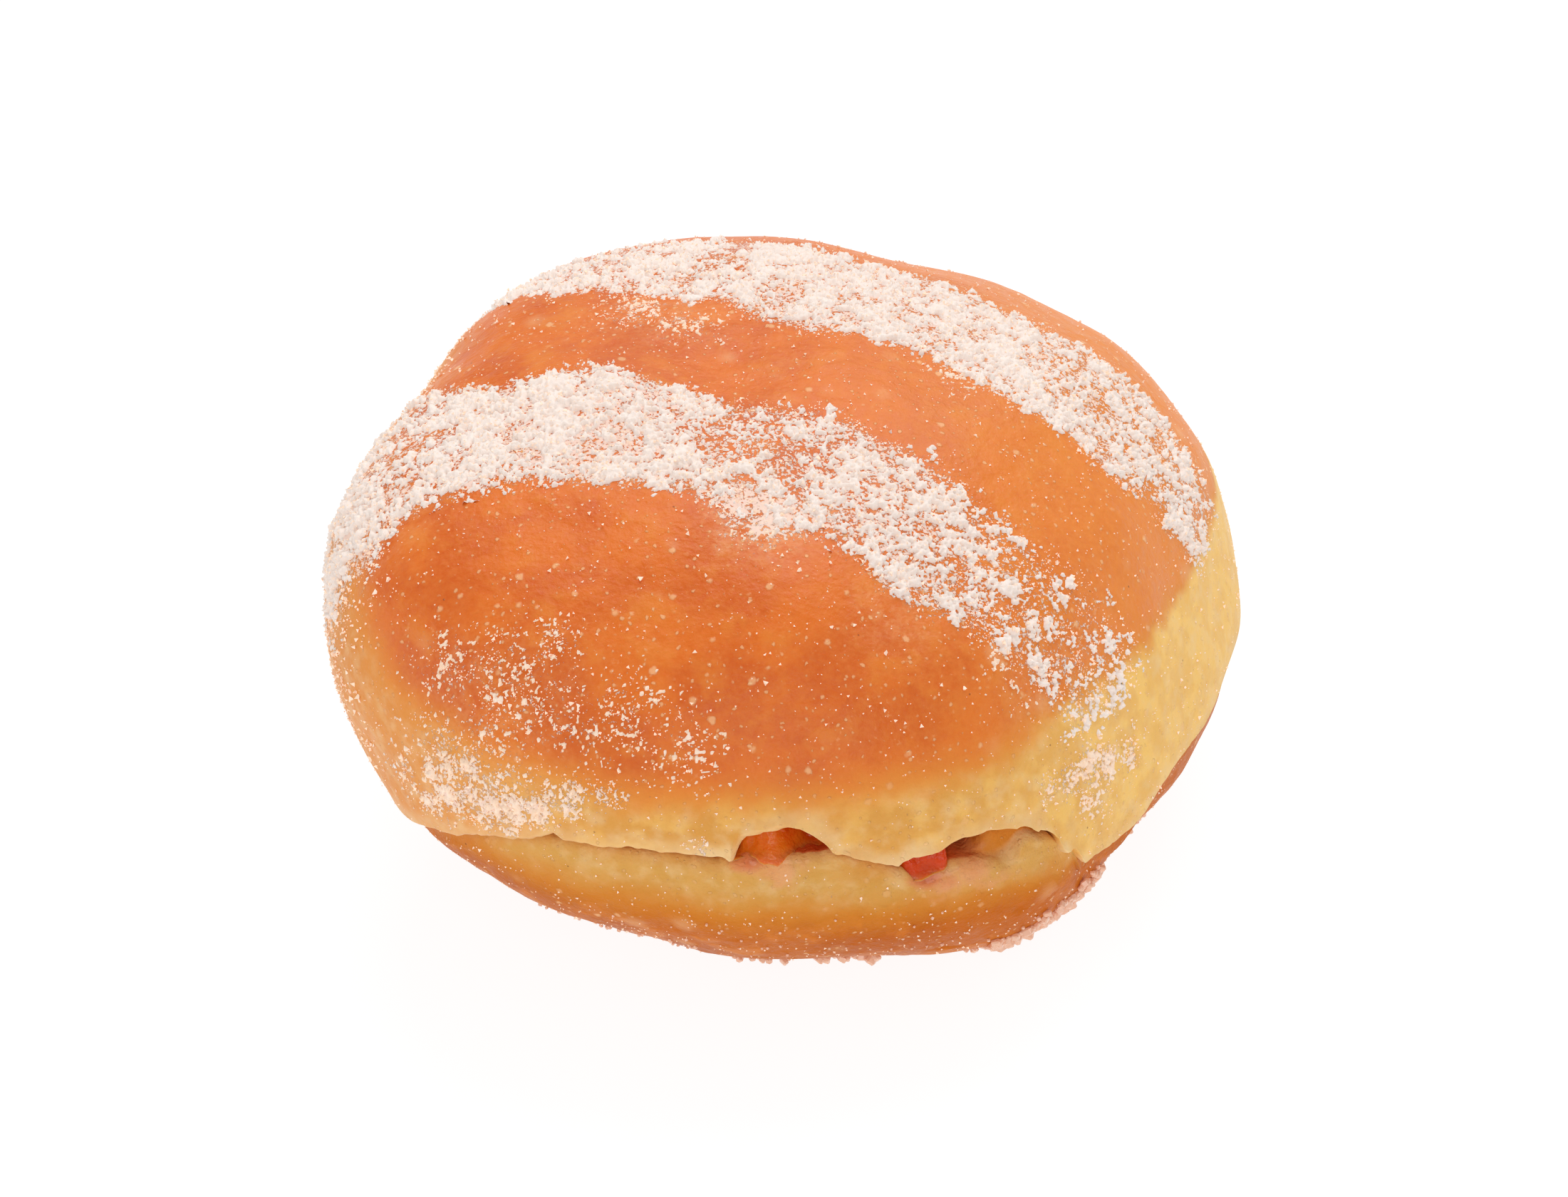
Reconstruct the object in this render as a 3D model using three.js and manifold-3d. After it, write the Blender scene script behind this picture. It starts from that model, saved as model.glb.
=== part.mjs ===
// A jelly filled doughnut: a round bun of fried dough, cut open along its waist, with a layer of
// jelly between the two halves. Millimetres, +Z up, the open mouths of the cut face -Y.
import * as THREE from 'three';
import { mergeVertices } from 'three/addons/utils/BufferGeometryUtils.js';
import Module from 'manifold-3d';

const wasm = await Module();
wasm.setup();

// Bun
const bunRadius = 41;
const waistHeight = 24.3; // widest level above the lowest point of the round underside
const crownRise = 24.9;
const crownFullness = 2.43; // 2 is an ellipse, more is squarer
const baseFullness = 2.35;
const crownLean = { x: -6.9, y: -0.9 }; // the top sits to the left
const baseLean = { x: 7.3, y: -0.9 }; // and the underside to the right
const footDepth = 0.9; // how much of the underside its own weight presses flat

// Lobes of the outline: each one's share of the radius, and the direction of its first bulge
const planLobes = [
  { lobes: 2, share: 0.065, bearing: 53 },
  { lobes: 3, share: 0.009, bearing: -13 },
  { lobes: 4, share: 0.037, bearing: 28 },
];
const crownLobes = [
  { lobes: 3, share: 0.014, bearing: -7 },
];
const baseLobes = [
  { lobes: 3, share: 0.029, bearing: -51 },
];

// Low waves of the fried skin: millimetres across one wave in each direction, and their depth
const skinWaves = [
  { x: 31, y: 47, z: 60, depth: 0.22 },
  { x: -19, y: 27, z: 34, depth: 0.16 },
  { x: 23, y: 15, z: -25, depth: 0.1 },
];
const footFade = 5; // rise over which the waves die out toward the flat underside
const crownHollow = { x: -11, y: 8, width: 8, length: 16, bearing: -52, depth: 0.6, from: 24, to: 40 };

// Two drifts of powdered sugar, each a bent stripe across the crown: y = middle + slope x + bend x x
const drifts = [
  { middle: -13, slope: -0.37, bend: -0.004, halfWidth: 7.4, from: -40, to: 29 },
  { middle: 15.6, slope: -0.34, bend: 0, halfWidth: 7.3, from: -31, to: 39 },
];
const driftDepth = 0.55;
const driftFeather = 2.2; // over which the sugar thins out at a stripe's sides
const driftEndFeather = 5;
const driftLevels = { none: 27, full: 32 }; // it lies only on the crown
const driftLumps = { x: 5.5, y: 6.8, share: 0.25 };

// The cut, by the turn from the front: negative to the left, positive to the right, in degrees
const cutSideHeight = 17;
const cutFrontHeight = 25.2;
const archTurns = { start: -60, full: -26 };
const archFalls = [ // each one's share of the arch's height; the last is the tear beside the flap
  { share: 0.24, start: 4, end: 16 },
  { share: 0.22, start: 24, end: 36 },
  { share: 0.54, start: 36, end: 40 },
];
const tornFlap = { turn: 49, halfWidth: 8, drop: 2.2 };
const backWave = { lobes: 5, depth: 0.5, from: 60, to: 90 };
const lipGap = 0.36;
const cutCentreHeight = 21;
const cutBend = 3; // power by which the cut settles to its middle level
const pocketDepth = 3.2;
const pocketReach = { full: 0.5, none: 0.94 };

// Two mouths where the jelly shows: the upper lip is lifted, and the lower lip dips or rises
const mouthLifts = [
  { height: 3.8, start: -7.5, full: -4, fall: 0, end: 11.5 },
  { height: 1.9, start: 15, full: 21, fall: 29, end: 37 },
];
const mouthDips = [
  { turn: 0, halfWidth: 5.5, depth: -0.8 },
  { turn: 14.5, halfWidth: 4.5, depth: 1.3 },
  { turn: 28.5, halfWidth: 6, depth: 0.9 },
];
const mouthDepth = { none: 0.62, full: 0.9 };

// Lips
const upperLipRadius = 0.7;
const upperLipOverhang = 0.35;
const lowerLipRadius = 1.8;
const lowerLipRecess = 0.5;

// Jelly layer: how far it reaches from the middle to the rim of the cut, and where it reaches more
const jellyReach = 0.82;
const jellyTongues = [
  { turn: 1, halfWidth: 6, more: 0.09 },
  { turn: 16, halfWidth: 4, more: 0.12 },
  { turn: 28, halfWidth: 5, more: -0.05 },
  { turn: 150, halfWidth: 40, more: -0.05 },
];
const jellyRimBulge = 0.012;
const jellyClearance = 0.32;

// Coarse sugar crystals that cling to the lower edge, as two patches
const crystalRadius = 0.5;
const crystalPatches = [
  { count: 30, from: 20, to: 54, low: 7.5, high: 12.5 },
  { count: 12, from: -24, to: 4, low: 6.5, high: 9 },
];
const crystalSeed = 7;

// Mesh density
const segments = 96;
const frontDensity = 0.62; // share of the even spacing left at the front; the back takes the rest
const crownRings = 17;
const baseRings = 11;
const innerShares = [0.2, 0.4, 0.6];
const lipShare = 0.965;
const lowerLipSteps = 3;

const degree = Math.PI / 180;
const frontBearing = -90;

const clamp01 = (value) => Math.min(1, Math.max(0, value));

// Smooth step from 0 at `start` to 1 at `end`
function ease(start, end, value) {
  const share = clamp01((value - start) / (end - start));
  return share * share * (3 - 2 * share);
}

const hump = (value, centre, halfWidth) => Math.exp(-(((value - centre) / halfWidth) ** 2));

// Sum over a list of lobes, as a share of the radius, in one direction
function lobeSum(list, azimuth) {
  return list.reduce(
    (sum, { lobes, share, bearing }) => sum + share * Math.cos(lobes * (azimuth - bearing * degree)),
    0,
  );
}

// Turns around the bun, close together at the front where the cut has its detail
function turnAt(index) {
  const even = (2 * index) / segments - 1;
  return 180 * (frontDensity * even + (1 - frontDensity) * even ** 3);
}
const turns = Array.from({ length: segments }, (_, index) => turnAt(index));
const azimuthOf = (turn) => (turn + frontBearing) * degree;

// Elevation on the bun's rounded section that lies at a height
function riseAtHeight(height) {
  const level = height - waistHeight;
  if (level >= 0) {
    return Math.asin(clamp01(level / crownRise) ** (crownFullness / 2));
  }
  return -Math.asin(clamp01(-level / waistHeight) ** (baseFullness / 2));
}

function skinRelief(point) {
  const waves = skinWaves.reduce((sum, { x, y, z, depth }) => {
    const phase = 2 * Math.PI * (point.x / x + point.y / y + point.z / z);
    return sum + depth * Math.sin(phase);
  }, 0);
  return waves * ease(footDepth, footDepth + footFade, point.z);
}

function hollowRelief(point) {
  const { x, y, width, length, bearing, depth, from, to } = crownHollow;
  const cos = Math.cos(bearing * degree);
  const sin = Math.sin(bearing * degree);
  const along = (point.x - x) * cos + (point.y - y) * sin;
  const across = (point.y - y) * cos - (point.x - x) * sin;
  return -depth * hump(along, 0, length) * hump(across, 0, width) * ease(from, to, point.z);
}

// Height of the powdered sugar over a point of the crown
function driftRelief(point) {
  const { x, y, share } = driftLumps;
  const wave = Math.sin((2 * Math.PI * point.x) / x) * Math.cos((2 * Math.PI * point.y) / y);
  const cover = drifts.map(({ middle, slope, bend, halfWidth, from, to }) => {
    const offset = Math.abs(point.y - middle - slope * point.x - bend * point.x ** 2);
    const start = ease(from - driftEndFeather, from + driftEndFeather, point.x);
    const end = 1 - ease(to - driftEndFeather, to + driftEndFeather, point.x);
    return start * end * (1 - ease(halfWidth - driftFeather, halfWidth, offset));
  });
  const level = ease(driftLevels.none, driftLevels.full, point.z);
  return driftDepth * (1 - share + share * wave) * Math.max(...cover) * level;
}

// A point of the bun's skin: the leaning, lobed round, then its relief along the outward direction
function skinPoint(turn, rise) {
  const azimuth = azimuthOf(turn);
  const upper = rise > 0;
  const fullness = upper ? crownFullness : baseFullness;
  const lift = Math.abs(Math.sin(rise)) ** (2 / fullness);
  const reach = Math.abs(Math.cos(rise)) ** (2 / fullness);
  const lean = upper ? crownLean : baseLean;
  const lobes = lobeSum(planLobes, azimuth)
    + lobeSum(upper ? crownLobes : baseLobes, azimuth) * Math.sin(rise) ** 2;
  const radius = bunRadius * (1 + lobes) * reach;
  const point = new THREE.Vector3(
    radius * Math.cos(azimuth) + lean.x * lift,
    radius * Math.sin(azimuth) + lean.y * lift,
    waistHeight + (upper ? crownRise : -waistHeight) * lift,
  );
  const outward = new THREE.Vector3(
    reach * Math.cos(azimuth),
    reach * Math.sin(azimuth),
    upper ? lift : -lift,
  ).normalize();
  const relief = skinRelief(point) + hollowRelief(point) + driftRelief(point);
  return point.addScaledVector(outward, relief);
}

// Level of the cut at the rim
function cutHeight(turn) {
  const fall = archFalls.reduce((sum, { share, start, end }) => sum + share * ease(start, end, turn), 0);
  const arch = ease(archTurns.start, archTurns.full, turn) * (1 - fall);
  const tear = archFalls.at(-1);
  const flap = tornFlap.drop * hump(turn, tornFlap.turn, tornFlap.halfWidth)
    * ease(tear.start, tear.end, turn);
  const behind = ease(backWave.from, backWave.to, Math.abs(turn));
  const wave = backWave.depth * Math.sin(backWave.lobes * turn * degree) * behind;
  return cutSideHeight + (cutFrontHeight - cutSideHeight) * arch - flap + wave;
}

function mouthLift(turn) {
  return mouthLifts.reduce(
    (sum, { height, start, full, fall, end }) =>
      sum + height * ease(start, full, turn) * (1 - ease(fall, end, turn)),
    0,
  );
}

function mouthDip(turn) {
  return mouthDips.reduce(
    (sum, { turn: centre, halfWidth, depth }) => sum + depth * hump(turn, centre, halfWidth),
    0,
  );
}

// How much longer an upright gap is than the true one, where an edge climbs along the rim
function steepness(heightAt, turn) {
  const step = 1;
  const run = 2 * step * degree * bunRadius;
  return Math.hypot(1, (heightAt(turn + step) - heightAt(turn - step)) / run);
}

const halfGap = (turn) => (lipGap / 2) * steepness(cutHeight, turn);
const upperEdge = (turn) => cutHeight(turn) + mouthLift(turn);
const lowerEdge = (turn) => cutHeight(turn) - mouthDip(turn);
const cutRim = (turn) => skinPoint(turn, riseAtHeight(cutHeight(turn)));

// Plan position and middle level of the cut, at a share of the way from its centre to its rim
function cutPoint(turn, share) {
  const rim = cutRim(turn);
  const level = cutCentreHeight + (cutHeight(turn) - cutCentreHeight) * share ** cutBend;
  return new THREE.Vector3(rim.x * share, rim.y * share, level);
}

const pocket = (share) => pocketDepth * (1 - ease(pocketReach.full, pocketReach.none, share));
const mouthShare = (share) => ease(mouthDepth.none, mouthDepth.full, share);

function upperFace(turn, share) {
  const point = cutPoint(turn, share);
  point.z += halfGap(turn) + pocket(share) + mouthLift(turn) * mouthShare(share);
  return point;
}

function lowerFace(turn, share) {
  const point = cutPoint(turn, share);
  point.z -= halfGap(turn) + pocket(share) + mouthDip(turn) * mouthShare(share);
  return point;
}

const jellyReachAt = (turn) => jellyTongues.reduce(
  (sum, { turn: centre, halfWidth, more }) => sum + more * hump(turn, centre, halfWidth),
  jellyReach,
);

// Rings shared by the jelly and both faces, so that the three lie parallel
const jellyShares = [
  ...innerShares.map((share) => () => share),
  (turn) => (innerShares.at(-1) + jellyReachAt(turn)) / 2,
  jellyReachAt,
];
const faceShares = [...jellyShares, () => lipShare];

const countTo = (count) => Array.from({ length: count }, (_, index) => index + 1);
const ringOf = (pointAt) => turns.map((turn) => pointAt(turn));

// A closed body over rings of points from its top pole to its bottom pole, its faces pointing out
function closedBody(topPole, rings, bottomPole) {
  const points = [topPole, ...rings.flat(), bottomPole];
  const faces = [];
  const at = (ring, segment) => 1 + ring * segments + (segment % segments);
  const last = points.length - 1;
  for (let segment = 0; segment < segments; segment += 1) {
    faces.push(0, at(0, segment), at(0, segment + 1));
    for (let ring = 0; ring < rings.length - 1; ring += 1) {
      const a = at(ring, segment);
      const b = at(ring + 1, segment);
      const c = at(ring + 1, segment + 1);
      const d = at(ring, segment + 1);
      const split = points[a].distanceTo(points[c]) <= points[b].distanceTo(points[d])
        ? [a, b, c, a, c, d]
        : [a, b, d, b, c, d];
      faces.push(...split);
    }
    faces.push(at(rings.length - 1, segment), last, at(rings.length - 1, segment + 1));
  }
  const geometry = new THREE.BufferGeometry().setFromPoints(points);
  geometry.setIndex(faces);
  return geometry;
}

// Quarter round from a skin point down or up to a face point, bulging toward the corner
function lipPoint(skin, face, angle) {
  const plan = 1 - Math.cos(angle);
  const climb = Math.sin(angle);
  return new THREE.Vector3(
    THREE.MathUtils.lerp(skin.x, face.x, plan),
    THREE.MathUtils.lerp(skin.y, face.y, plan),
    THREE.MathUtils.lerp(skin.z, face.z, climb),
  );
}

function pushedOut(point, distance) {
  const plan = Math.hypot(point.x, point.y);
  const scale = (plan + distance) / plan;
  return new THREE.Vector3(point.x * scale, point.y * scale, point.z);
}

// Upper half: crown, thin lip, and the underside that roofs the jelly
function upperDough() {
  const top = skinPoint(0, 90 * degree);
  const lipSkin = (turn) => {
    const height = cutHeight(turn) + halfGap(turn) + mouthLift(turn) + upperLipRadius;
    return pushedOut(skinPoint(turn, riseAtHeight(height)), upperLipOverhang);
  };
  const lipRise = (turn) => riseAtHeight(lipSkin(turn).z);
  const lipFace = (turn) => upperFace(turn, 1 - upperLipRadius / bunRadius);
  const crown = countTo(crownRings).map((ring) =>
    ringOf((turn) => {
      const rise = THREE.MathUtils.lerp(90 * degree, lipRise(turn), ring / (crownRings + 1));
      return skinPoint(turn, rise);
    }));
  const lip = [
    ringOf(lipSkin),
    ringOf((turn) => lipPoint(lipSkin(turn), lipFace(turn), 45 * degree)),
    ringOf(lipFace),
  ];
  const face = [...faceShares].reverse().map((shareAt) =>
    ringOf((turn) => upperFace(turn, shareAt(turn))));
  return closedBody(top, [...crown, ...lip, ...face], upperFace(0, 0));
}

// Lower half: the face under the jelly, a rounded shoulder, and the browned underside
function lowerDough() {
  const face = faceShares.map((shareAt) => ringOf((turn) => lowerFace(turn, shareAt(turn))));
  const lipFace = (turn) => lowerFace(turn, lipShare);
  const lipSkin = (turn) => {
    const height = lowerFace(turn, 1).z - lowerLipRadius;
    return pushedOut(skinPoint(turn, riseAtHeight(height)), -lowerLipRecess);
  };
  const lip = countTo(lowerLipSteps).map((step) => {
    const angle = 90 * degree * (1 - step / lowerLipSteps);
    return ringOf((turn) => lipPoint(lipSkin(turn), lipFace(turn), angle));
  });
  const footRise = riseAtHeight(footDepth);
  const base = countTo(baseRings).map((ring) =>
    ringOf((turn) => {
      const rise = THREE.MathUtils.lerp(riseAtHeight(lipSkin(turn).z), footRise, ring / baseRings);
      return skinPoint(turn, rise);
    }));
  const footCentre = new THREE.Vector3(baseLean.x, baseLean.y, footDepth);
  return closedBody(lowerFace(0, 0), [...face, ...lip, ...base], footCentre);
}

// Jelly: a lens between the two faces, with a tongue into each mouth
function jellyLayer() {
  const above = (turn, share) => {
    const point = upperFace(turn, share);
    point.z -= jellyClearance * steepness(upperEdge, turn);
    return point;
  };
  const below = (turn, share) => {
    const point = lowerFace(turn, share);
    point.z += jellyClearance * steepness(lowerEdge, turn);
    return point;
  };
  const roof = jellyShares.map((shareAt) => ringOf((turn) => above(turn, shareAt(turn))));
  const floor = [...jellyShares].reverse().map((shareAt) =>
    ringOf((turn) => below(turn, shareAt(turn))));
  const rim = ringOf((turn) => {
    const share = jellyReachAt(turn) + jellyRimBulge;
    return above(turn, share).lerp(below(turn, share), 0.5);
  });
  return closedBody(above(0, 0), [...roof, rim, ...floor], below(0, 0));
}

function toManifold(geometry) {
  const bare = new THREE.BufferGeometry();
  bare.setAttribute('position', geometry.getAttribute('position').clone());
  bare.setIndex(geometry.getIndex());
  const merged = mergeVertices(bare, 1e-5);
  return new wasm.Manifold(new wasm.Mesh({
    numProp: 3,
    vertProperties: new Float32Array(merged.getAttribute('position').array),
    triVerts: new Uint32Array(merged.getIndex().array),
  }));
}

function toGeometry(manifold) {
  const mesh = manifold.getMesh();
  const geometry = new THREE.BufferGeometry();
  geometry.setAttribute('position', new THREE.BufferAttribute(mesh.vertProperties, 3));
  geometry.setIndex(new THREE.BufferAttribute(mesh.triVerts, 1));
  return geometry;
}

// Repeatable draw between 0 and 1
function seededRandom(seed) {
  let state = seed;
  return () => {
    state = (state * 48271) % 2147483647;
    return state / 2147483647;
  };
}

// One grain of coarse sugar, a small rough block half sunk in the crust
function crystal(point, random) {
  const geometry = new THREE.IcosahedronGeometry(crystalRadius * (0.8 + 0.4 * random()), 0);
  geometry.setIndex([...Array(geometry.getAttribute('position').count).keys()]);
  geometry.scale(1, 0.7 + 0.3 * random(), 0.8 + 0.4 * random());
  geometry.rotateX(Math.PI * random());
  geometry.rotateZ(Math.PI * random());
  geometry.translate(point.x, point.y, point.z);
  return geometry;
}

function withCrystals(dough) {
  const random = seededRandom(crystalSeed);
  let body = toManifold(dough);
  for (const { count, from, to, low, high } of crystalPatches) {
    for (let index = 0; index < count; index += 1) {
      const turn = THREE.MathUtils.lerp(from, to, (index + random()) / count);
      const rise = riseAtHeight(THREE.MathUtils.lerp(low, high, random()));
      body = body.add(toManifold(crystal(skinPoint(turn, rise), random)));
    }
  }
  return toGeometry(body);
}

function namedMesh(name, geometry, color, roughness) {
  geometry.computeVertexNormals();
  const material = new THREE.MeshStandardMaterial({ color, roughness, metalness: 0 });
  const mesh = new THREE.Mesh(geometry, material);
  mesh.name = name;
  return mesh;
}

const doughnut = new THREE.Group();
doughnut.add(
  namedMesh('dough_top', upperDough(), '#dc773b', 0.5),
  namedMesh('jelly', jellyLayer(), '#b8431c', 0.2),
  namedMesh('dough_bottom', withCrystals(lowerDough()), '#d6904f', 0.55),
);

// The origin is the middle of the footprint, on the surface that the doughnut rests on
const box = new THREE.Box3().setFromObject(doughnut);
const centre = box.getCenter(new THREE.Vector3());
doughnut.position.set(-centre.x, -centre.y, -box.min.z);

export default doughnut;
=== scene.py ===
import math

import bmesh
import bpy
import numpy as np
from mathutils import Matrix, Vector
from mathutils.bvhtree import BVHTree


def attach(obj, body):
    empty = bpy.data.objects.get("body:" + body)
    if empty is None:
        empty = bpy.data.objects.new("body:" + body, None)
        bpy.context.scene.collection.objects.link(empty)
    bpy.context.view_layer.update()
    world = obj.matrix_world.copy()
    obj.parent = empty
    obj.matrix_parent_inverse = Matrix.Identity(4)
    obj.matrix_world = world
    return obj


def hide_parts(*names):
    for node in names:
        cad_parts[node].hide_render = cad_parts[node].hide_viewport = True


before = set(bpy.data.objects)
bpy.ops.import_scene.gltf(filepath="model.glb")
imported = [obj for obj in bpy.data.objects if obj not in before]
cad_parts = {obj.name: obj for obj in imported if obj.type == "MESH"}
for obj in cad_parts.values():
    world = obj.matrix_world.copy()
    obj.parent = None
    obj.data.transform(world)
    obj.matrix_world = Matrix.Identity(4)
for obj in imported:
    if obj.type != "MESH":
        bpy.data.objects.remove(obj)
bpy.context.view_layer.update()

mm = 0.001
degree = math.pi / 180

# the bun, in millimetres about its own axis, as the solids have it
bun = {
    "radius": 41.0,
    "waist": 24.3,          # widest level
    "crownRise": 24.9,
    "crownFullness": 2.43,  # 2 is an ellipse, more is squarer
    "baseFullness": 2.35,
    "crownLean": (-6.9, -0.9),
    "baseLean": (7.3, -0.9),
    "foot": 0.9,            # pressed flat below this level
    "footFade": 5.0,
    "rimPerDegree": 0.72,   # millimetres of the rim in a degree of turn
    "origin": (-0.11, -0.22, -0.9),  # from the bun's axis to the part's own origin
    # lobes of the outline: how many, share of the radius, bearing in degrees
    "planLobes": [(2, 0.065, 53), (3, 0.009, -13), (4, 0.037, 28)],
    "crownLobes": [(3, 0.014, -7)],
    "baseLobes": [(3, 0.029, -51)],
    # low waves of the skin: length along x, y and z, and depth
    "waves": [(31, 47, 60, 0.22), (-19, 27, 34, 0.16), (23, 15, -25, 0.1)],
}

# the cut, by the turn from the front in degrees: left is negative, right is positive
cut = {
    "sideHeight": 17.0,
    "frontHeight": 25.2,
    "arch": (-60, -26),
    "falls": [(0.24, 4, 16), (0.22, 24, 36), (0.54, 36.8, 39)],  # share of the arch, start, end
    "flapTurn": 49, "flapHalfWidth": 8, "flapDrop": 2.2,
    "backLobes": 5, "backDepth": 0.5, "backFrom": 60, "backTo": 90,
    "gap": 0.1,
    "centreHeight": 21.0,
    "bend": 3,
    "pocket": 3.2, "pocketFull": 0.5, "pocketNone": 0.94,
    # the torn lips: millimetres over the cut, by turn
    "upperLip": [
        (-60, 0), (-48.3, 0.6), (-44.6, 0.1), (-37.5, -0.1), (-34.8, -0.4), (-32, -0.25), (-29.6, 0.3),
        (-28.2, 0.9), (-27, 0.2), (-23.8, 0.4), (-21.9, 0.25), (-18.8, 0.8), (-15, 0.55), (-10.7, 0.6),
        (-6.5, 0.5), (-6.2, 1.1), (-5.6, 2.3), (-4.9, 2.8), (-3.2, 3.1), (-2.9, 3.3), (-1.5, 3.6),
        (0.6, 4), (2.1, 3.9), (3.6, 3.5), (5, 2.7), (5.7, 2.1), (6.1, 1.3), (6.8, 1.1), (8.4, 0.7),
        (10.2, 0.5), (12.2, 0.3), (13.3, 0.2), (14, 0.5), (17, 0.95), (18.2, 1.1), (19.7, 1.9),
        (22.3, 2.55), (23.2, 2.35), (25.7, 2.55), (27.7, 2.4), (30.7, 2.1), (32, 1.7), (34.2, 0.9),
        (34.8, 0.3), (35.2, -0.9), (35.5, -1.7), (36.1, -2.1), (37.4, -1.7), (38.3, -0.9), (39, 0.1),
        (41, 0.4), (44.4, 0.3), (47.9, 0.7), (60, 0),
    ],
    "lowerLip": [
        (-60, 0), (-9, 0), (-6.5, 0.3), (-4, 0.7), (-2.2, 0.9), (0, 0.8), (3.7, 0.6), (5.7, 0.9),
        (7.5, 0.75), (10, 0.2), (12, -0.1), (13.3, -0.5), (15, -1.2), (18, -1), (20.6, -0.3),
        (22.5, -0.4), (24.8, -0.9), (26.6, -1.9), (28, -1.5), (28.9, -0.8), (29.5, 0), (30.3, 0.5),
        (31, 0.7), (32.5, 0.55), (33.5, 0.45), (34.5, 0.3), (35, -0.2), (36, -0.8), (37, -1), (39, 0),
        (60, 0),
    ],
    "slope": (23.5, 27.5, 34.4, 35.4),   # turns where the lower half climbs to the upper one behind its lip
    "slopeGap": 0.2,        # what stays open between the two there
    "mouthNone": 0.62, "mouthFull": 0.9,
    "ragged": 0.15,         # tearing of the lips, up and down
    "torn": (-80, -50, 60, 90),   # turns over which the tearing comes in and fades again
    "rougher": [(-7, 3), (17, 3.5), (32, 4)],   # turn, half width
}


def ease(start, end, value):
    share = np.clip((value - start) / (end - start), 0, 1)
    return share * share * (3 - 2 * share)


def hump(value, centre, halfWidth):
    return np.exp(-(((value - centre) / halfWidth) ** 2))


# rises from the first to the second number of the window, falls from the third to the fourth
def between(window, value):
    start, full, fall, end = window
    return ease(start, full, value) * (1 - ease(fall, end, value))


def spot(points, centre, reach):
    return np.exp(-(np.linalg.norm(points - centre, axis=1) / reach) ** 2)


# a value read from a list of pairs, straight between them
def fromTable(table, value):
    return np.interp(value, *zip(*table))


# smooth lattice noise between -1 and 1 at points in millimetres, size is the length of one cell
def lumps(points, size, seed):
    scaled = np.asarray(points, float) / size + seed * 17.13
    cell = np.floor(scaled).astype(np.int64)
    inside = scaled - cell
    fade = inside ** 3 * (inside * (inside * 6 - 15) + 10)
    total = np.zeros(len(scaled))
    for corner in np.ndindex(2, 2, 2):
        at = cell + corner
        mixed = (at[:, 0] * 73856093) ^ (at[:, 1] * 19349663) ^ (at[:, 2] * 83492791) ^ (seed * 2654435)
        mixed = ((mixed ^ (mixed >> 13)) * 1274126177) & 0x7FFFFFFF
        mixed = ((mixed ^ (mixed >> 15)) * 668265263) & 0x7FFFFFFF
        value = mixed / 0x3FFFFFFF - 1
        weight = np.prod(np.where(corner, fade, 1 - fade), axis=1)
        total += weight * value
    return total


def lobeSum(lobes, azimuth):
    return sum(share * np.cos(count * (azimuth - bearing * degree)) for count, share, bearing in lobes)


def riseAtHeight(height):
    level = np.asarray(height, float) - bun["waist"]
    up = np.arcsin(np.clip(level / bun["crownRise"], 0, 1) ** (bun["crownFullness"] / 2))
    down = -np.arcsin(np.clip(-level / bun["waist"], 0, 1) ** (bun["baseFullness"] / 2))
    return np.where(level >= 0, up, down)


# points of the bun's skin and their outward directions
def skin(turn, rise):
    turn, rise = np.broadcast_arrays(np.asarray(turn, float), np.asarray(rise, float))
    azimuth = (turn - 90) * degree
    upper = rise > 0
    fullness = np.where(upper, bun["crownFullness"], bun["baseFullness"])
    lift = np.abs(np.sin(rise)) ** (2 / fullness)
    reach = np.abs(np.cos(rise)) ** (2 / fullness)
    sideLobes = np.where(upper, lobeSum(bun["crownLobes"], azimuth), lobeSum(bun["baseLobes"], azimuth))
    lobes = lobeSum(bun["planLobes"], azimuth) + sideLobes * np.sin(rise) ** 2
    radius = bun["radius"] * (1 + lobes) * reach
    leanX = np.where(upper, bun["crownLean"][0], bun["baseLean"][0])
    leanY = np.where(upper, bun["crownLean"][1], bun["baseLean"][1])
    point = np.stack([
        radius * np.cos(azimuth) + leanX * lift,
        radius * np.sin(azimuth) + leanY * lift,
        bun["waist"] + np.where(upper, bun["crownRise"], -bun["waist"]) * lift,
    ], axis=-1)
    outward = np.stack([
        reach * np.cos(azimuth),
        reach * np.sin(azimuth),
        np.where(upper, lift, -lift),
    ], axis=-1)
    outward /= np.linalg.norm(outward, axis=-1, keepdims=True)
    relief = skinRelief(point)
    return point + outward * relief[..., None], outward


crownHollow = {"x": -11, "y": 8, "width": 8, "length": 16, "bearing": -52, "depth": 0.6, "levels": (24, 40)}


def skinRelief(point):
    x, y, z = point[..., 0], point[..., 1], point[..., 2]
    waves = sum(depth * np.sin(2 * math.pi * (x / lengthX + y / lengthY + z / lengthZ))
                for lengthX, lengthY, lengthZ, depth in bun["waves"])
    waves = waves * ease(bun["foot"], bun["foot"] + bun["footFade"], z)
    cos, sin = math.cos(crownHollow["bearing"] * degree), math.sin(crownHollow["bearing"] * degree)
    along = (x - crownHollow["x"]) * cos + (y - crownHollow["y"]) * sin
    across = (y - crownHollow["y"]) * cos - (x - crownHollow["x"]) * sin
    hollow = hump(along, 0, crownHollow["length"]) * hump(across, 0, crownHollow["width"])
    return waves - crownHollow["depth"] * hollow * ease(*crownHollow["levels"], z)


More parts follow.
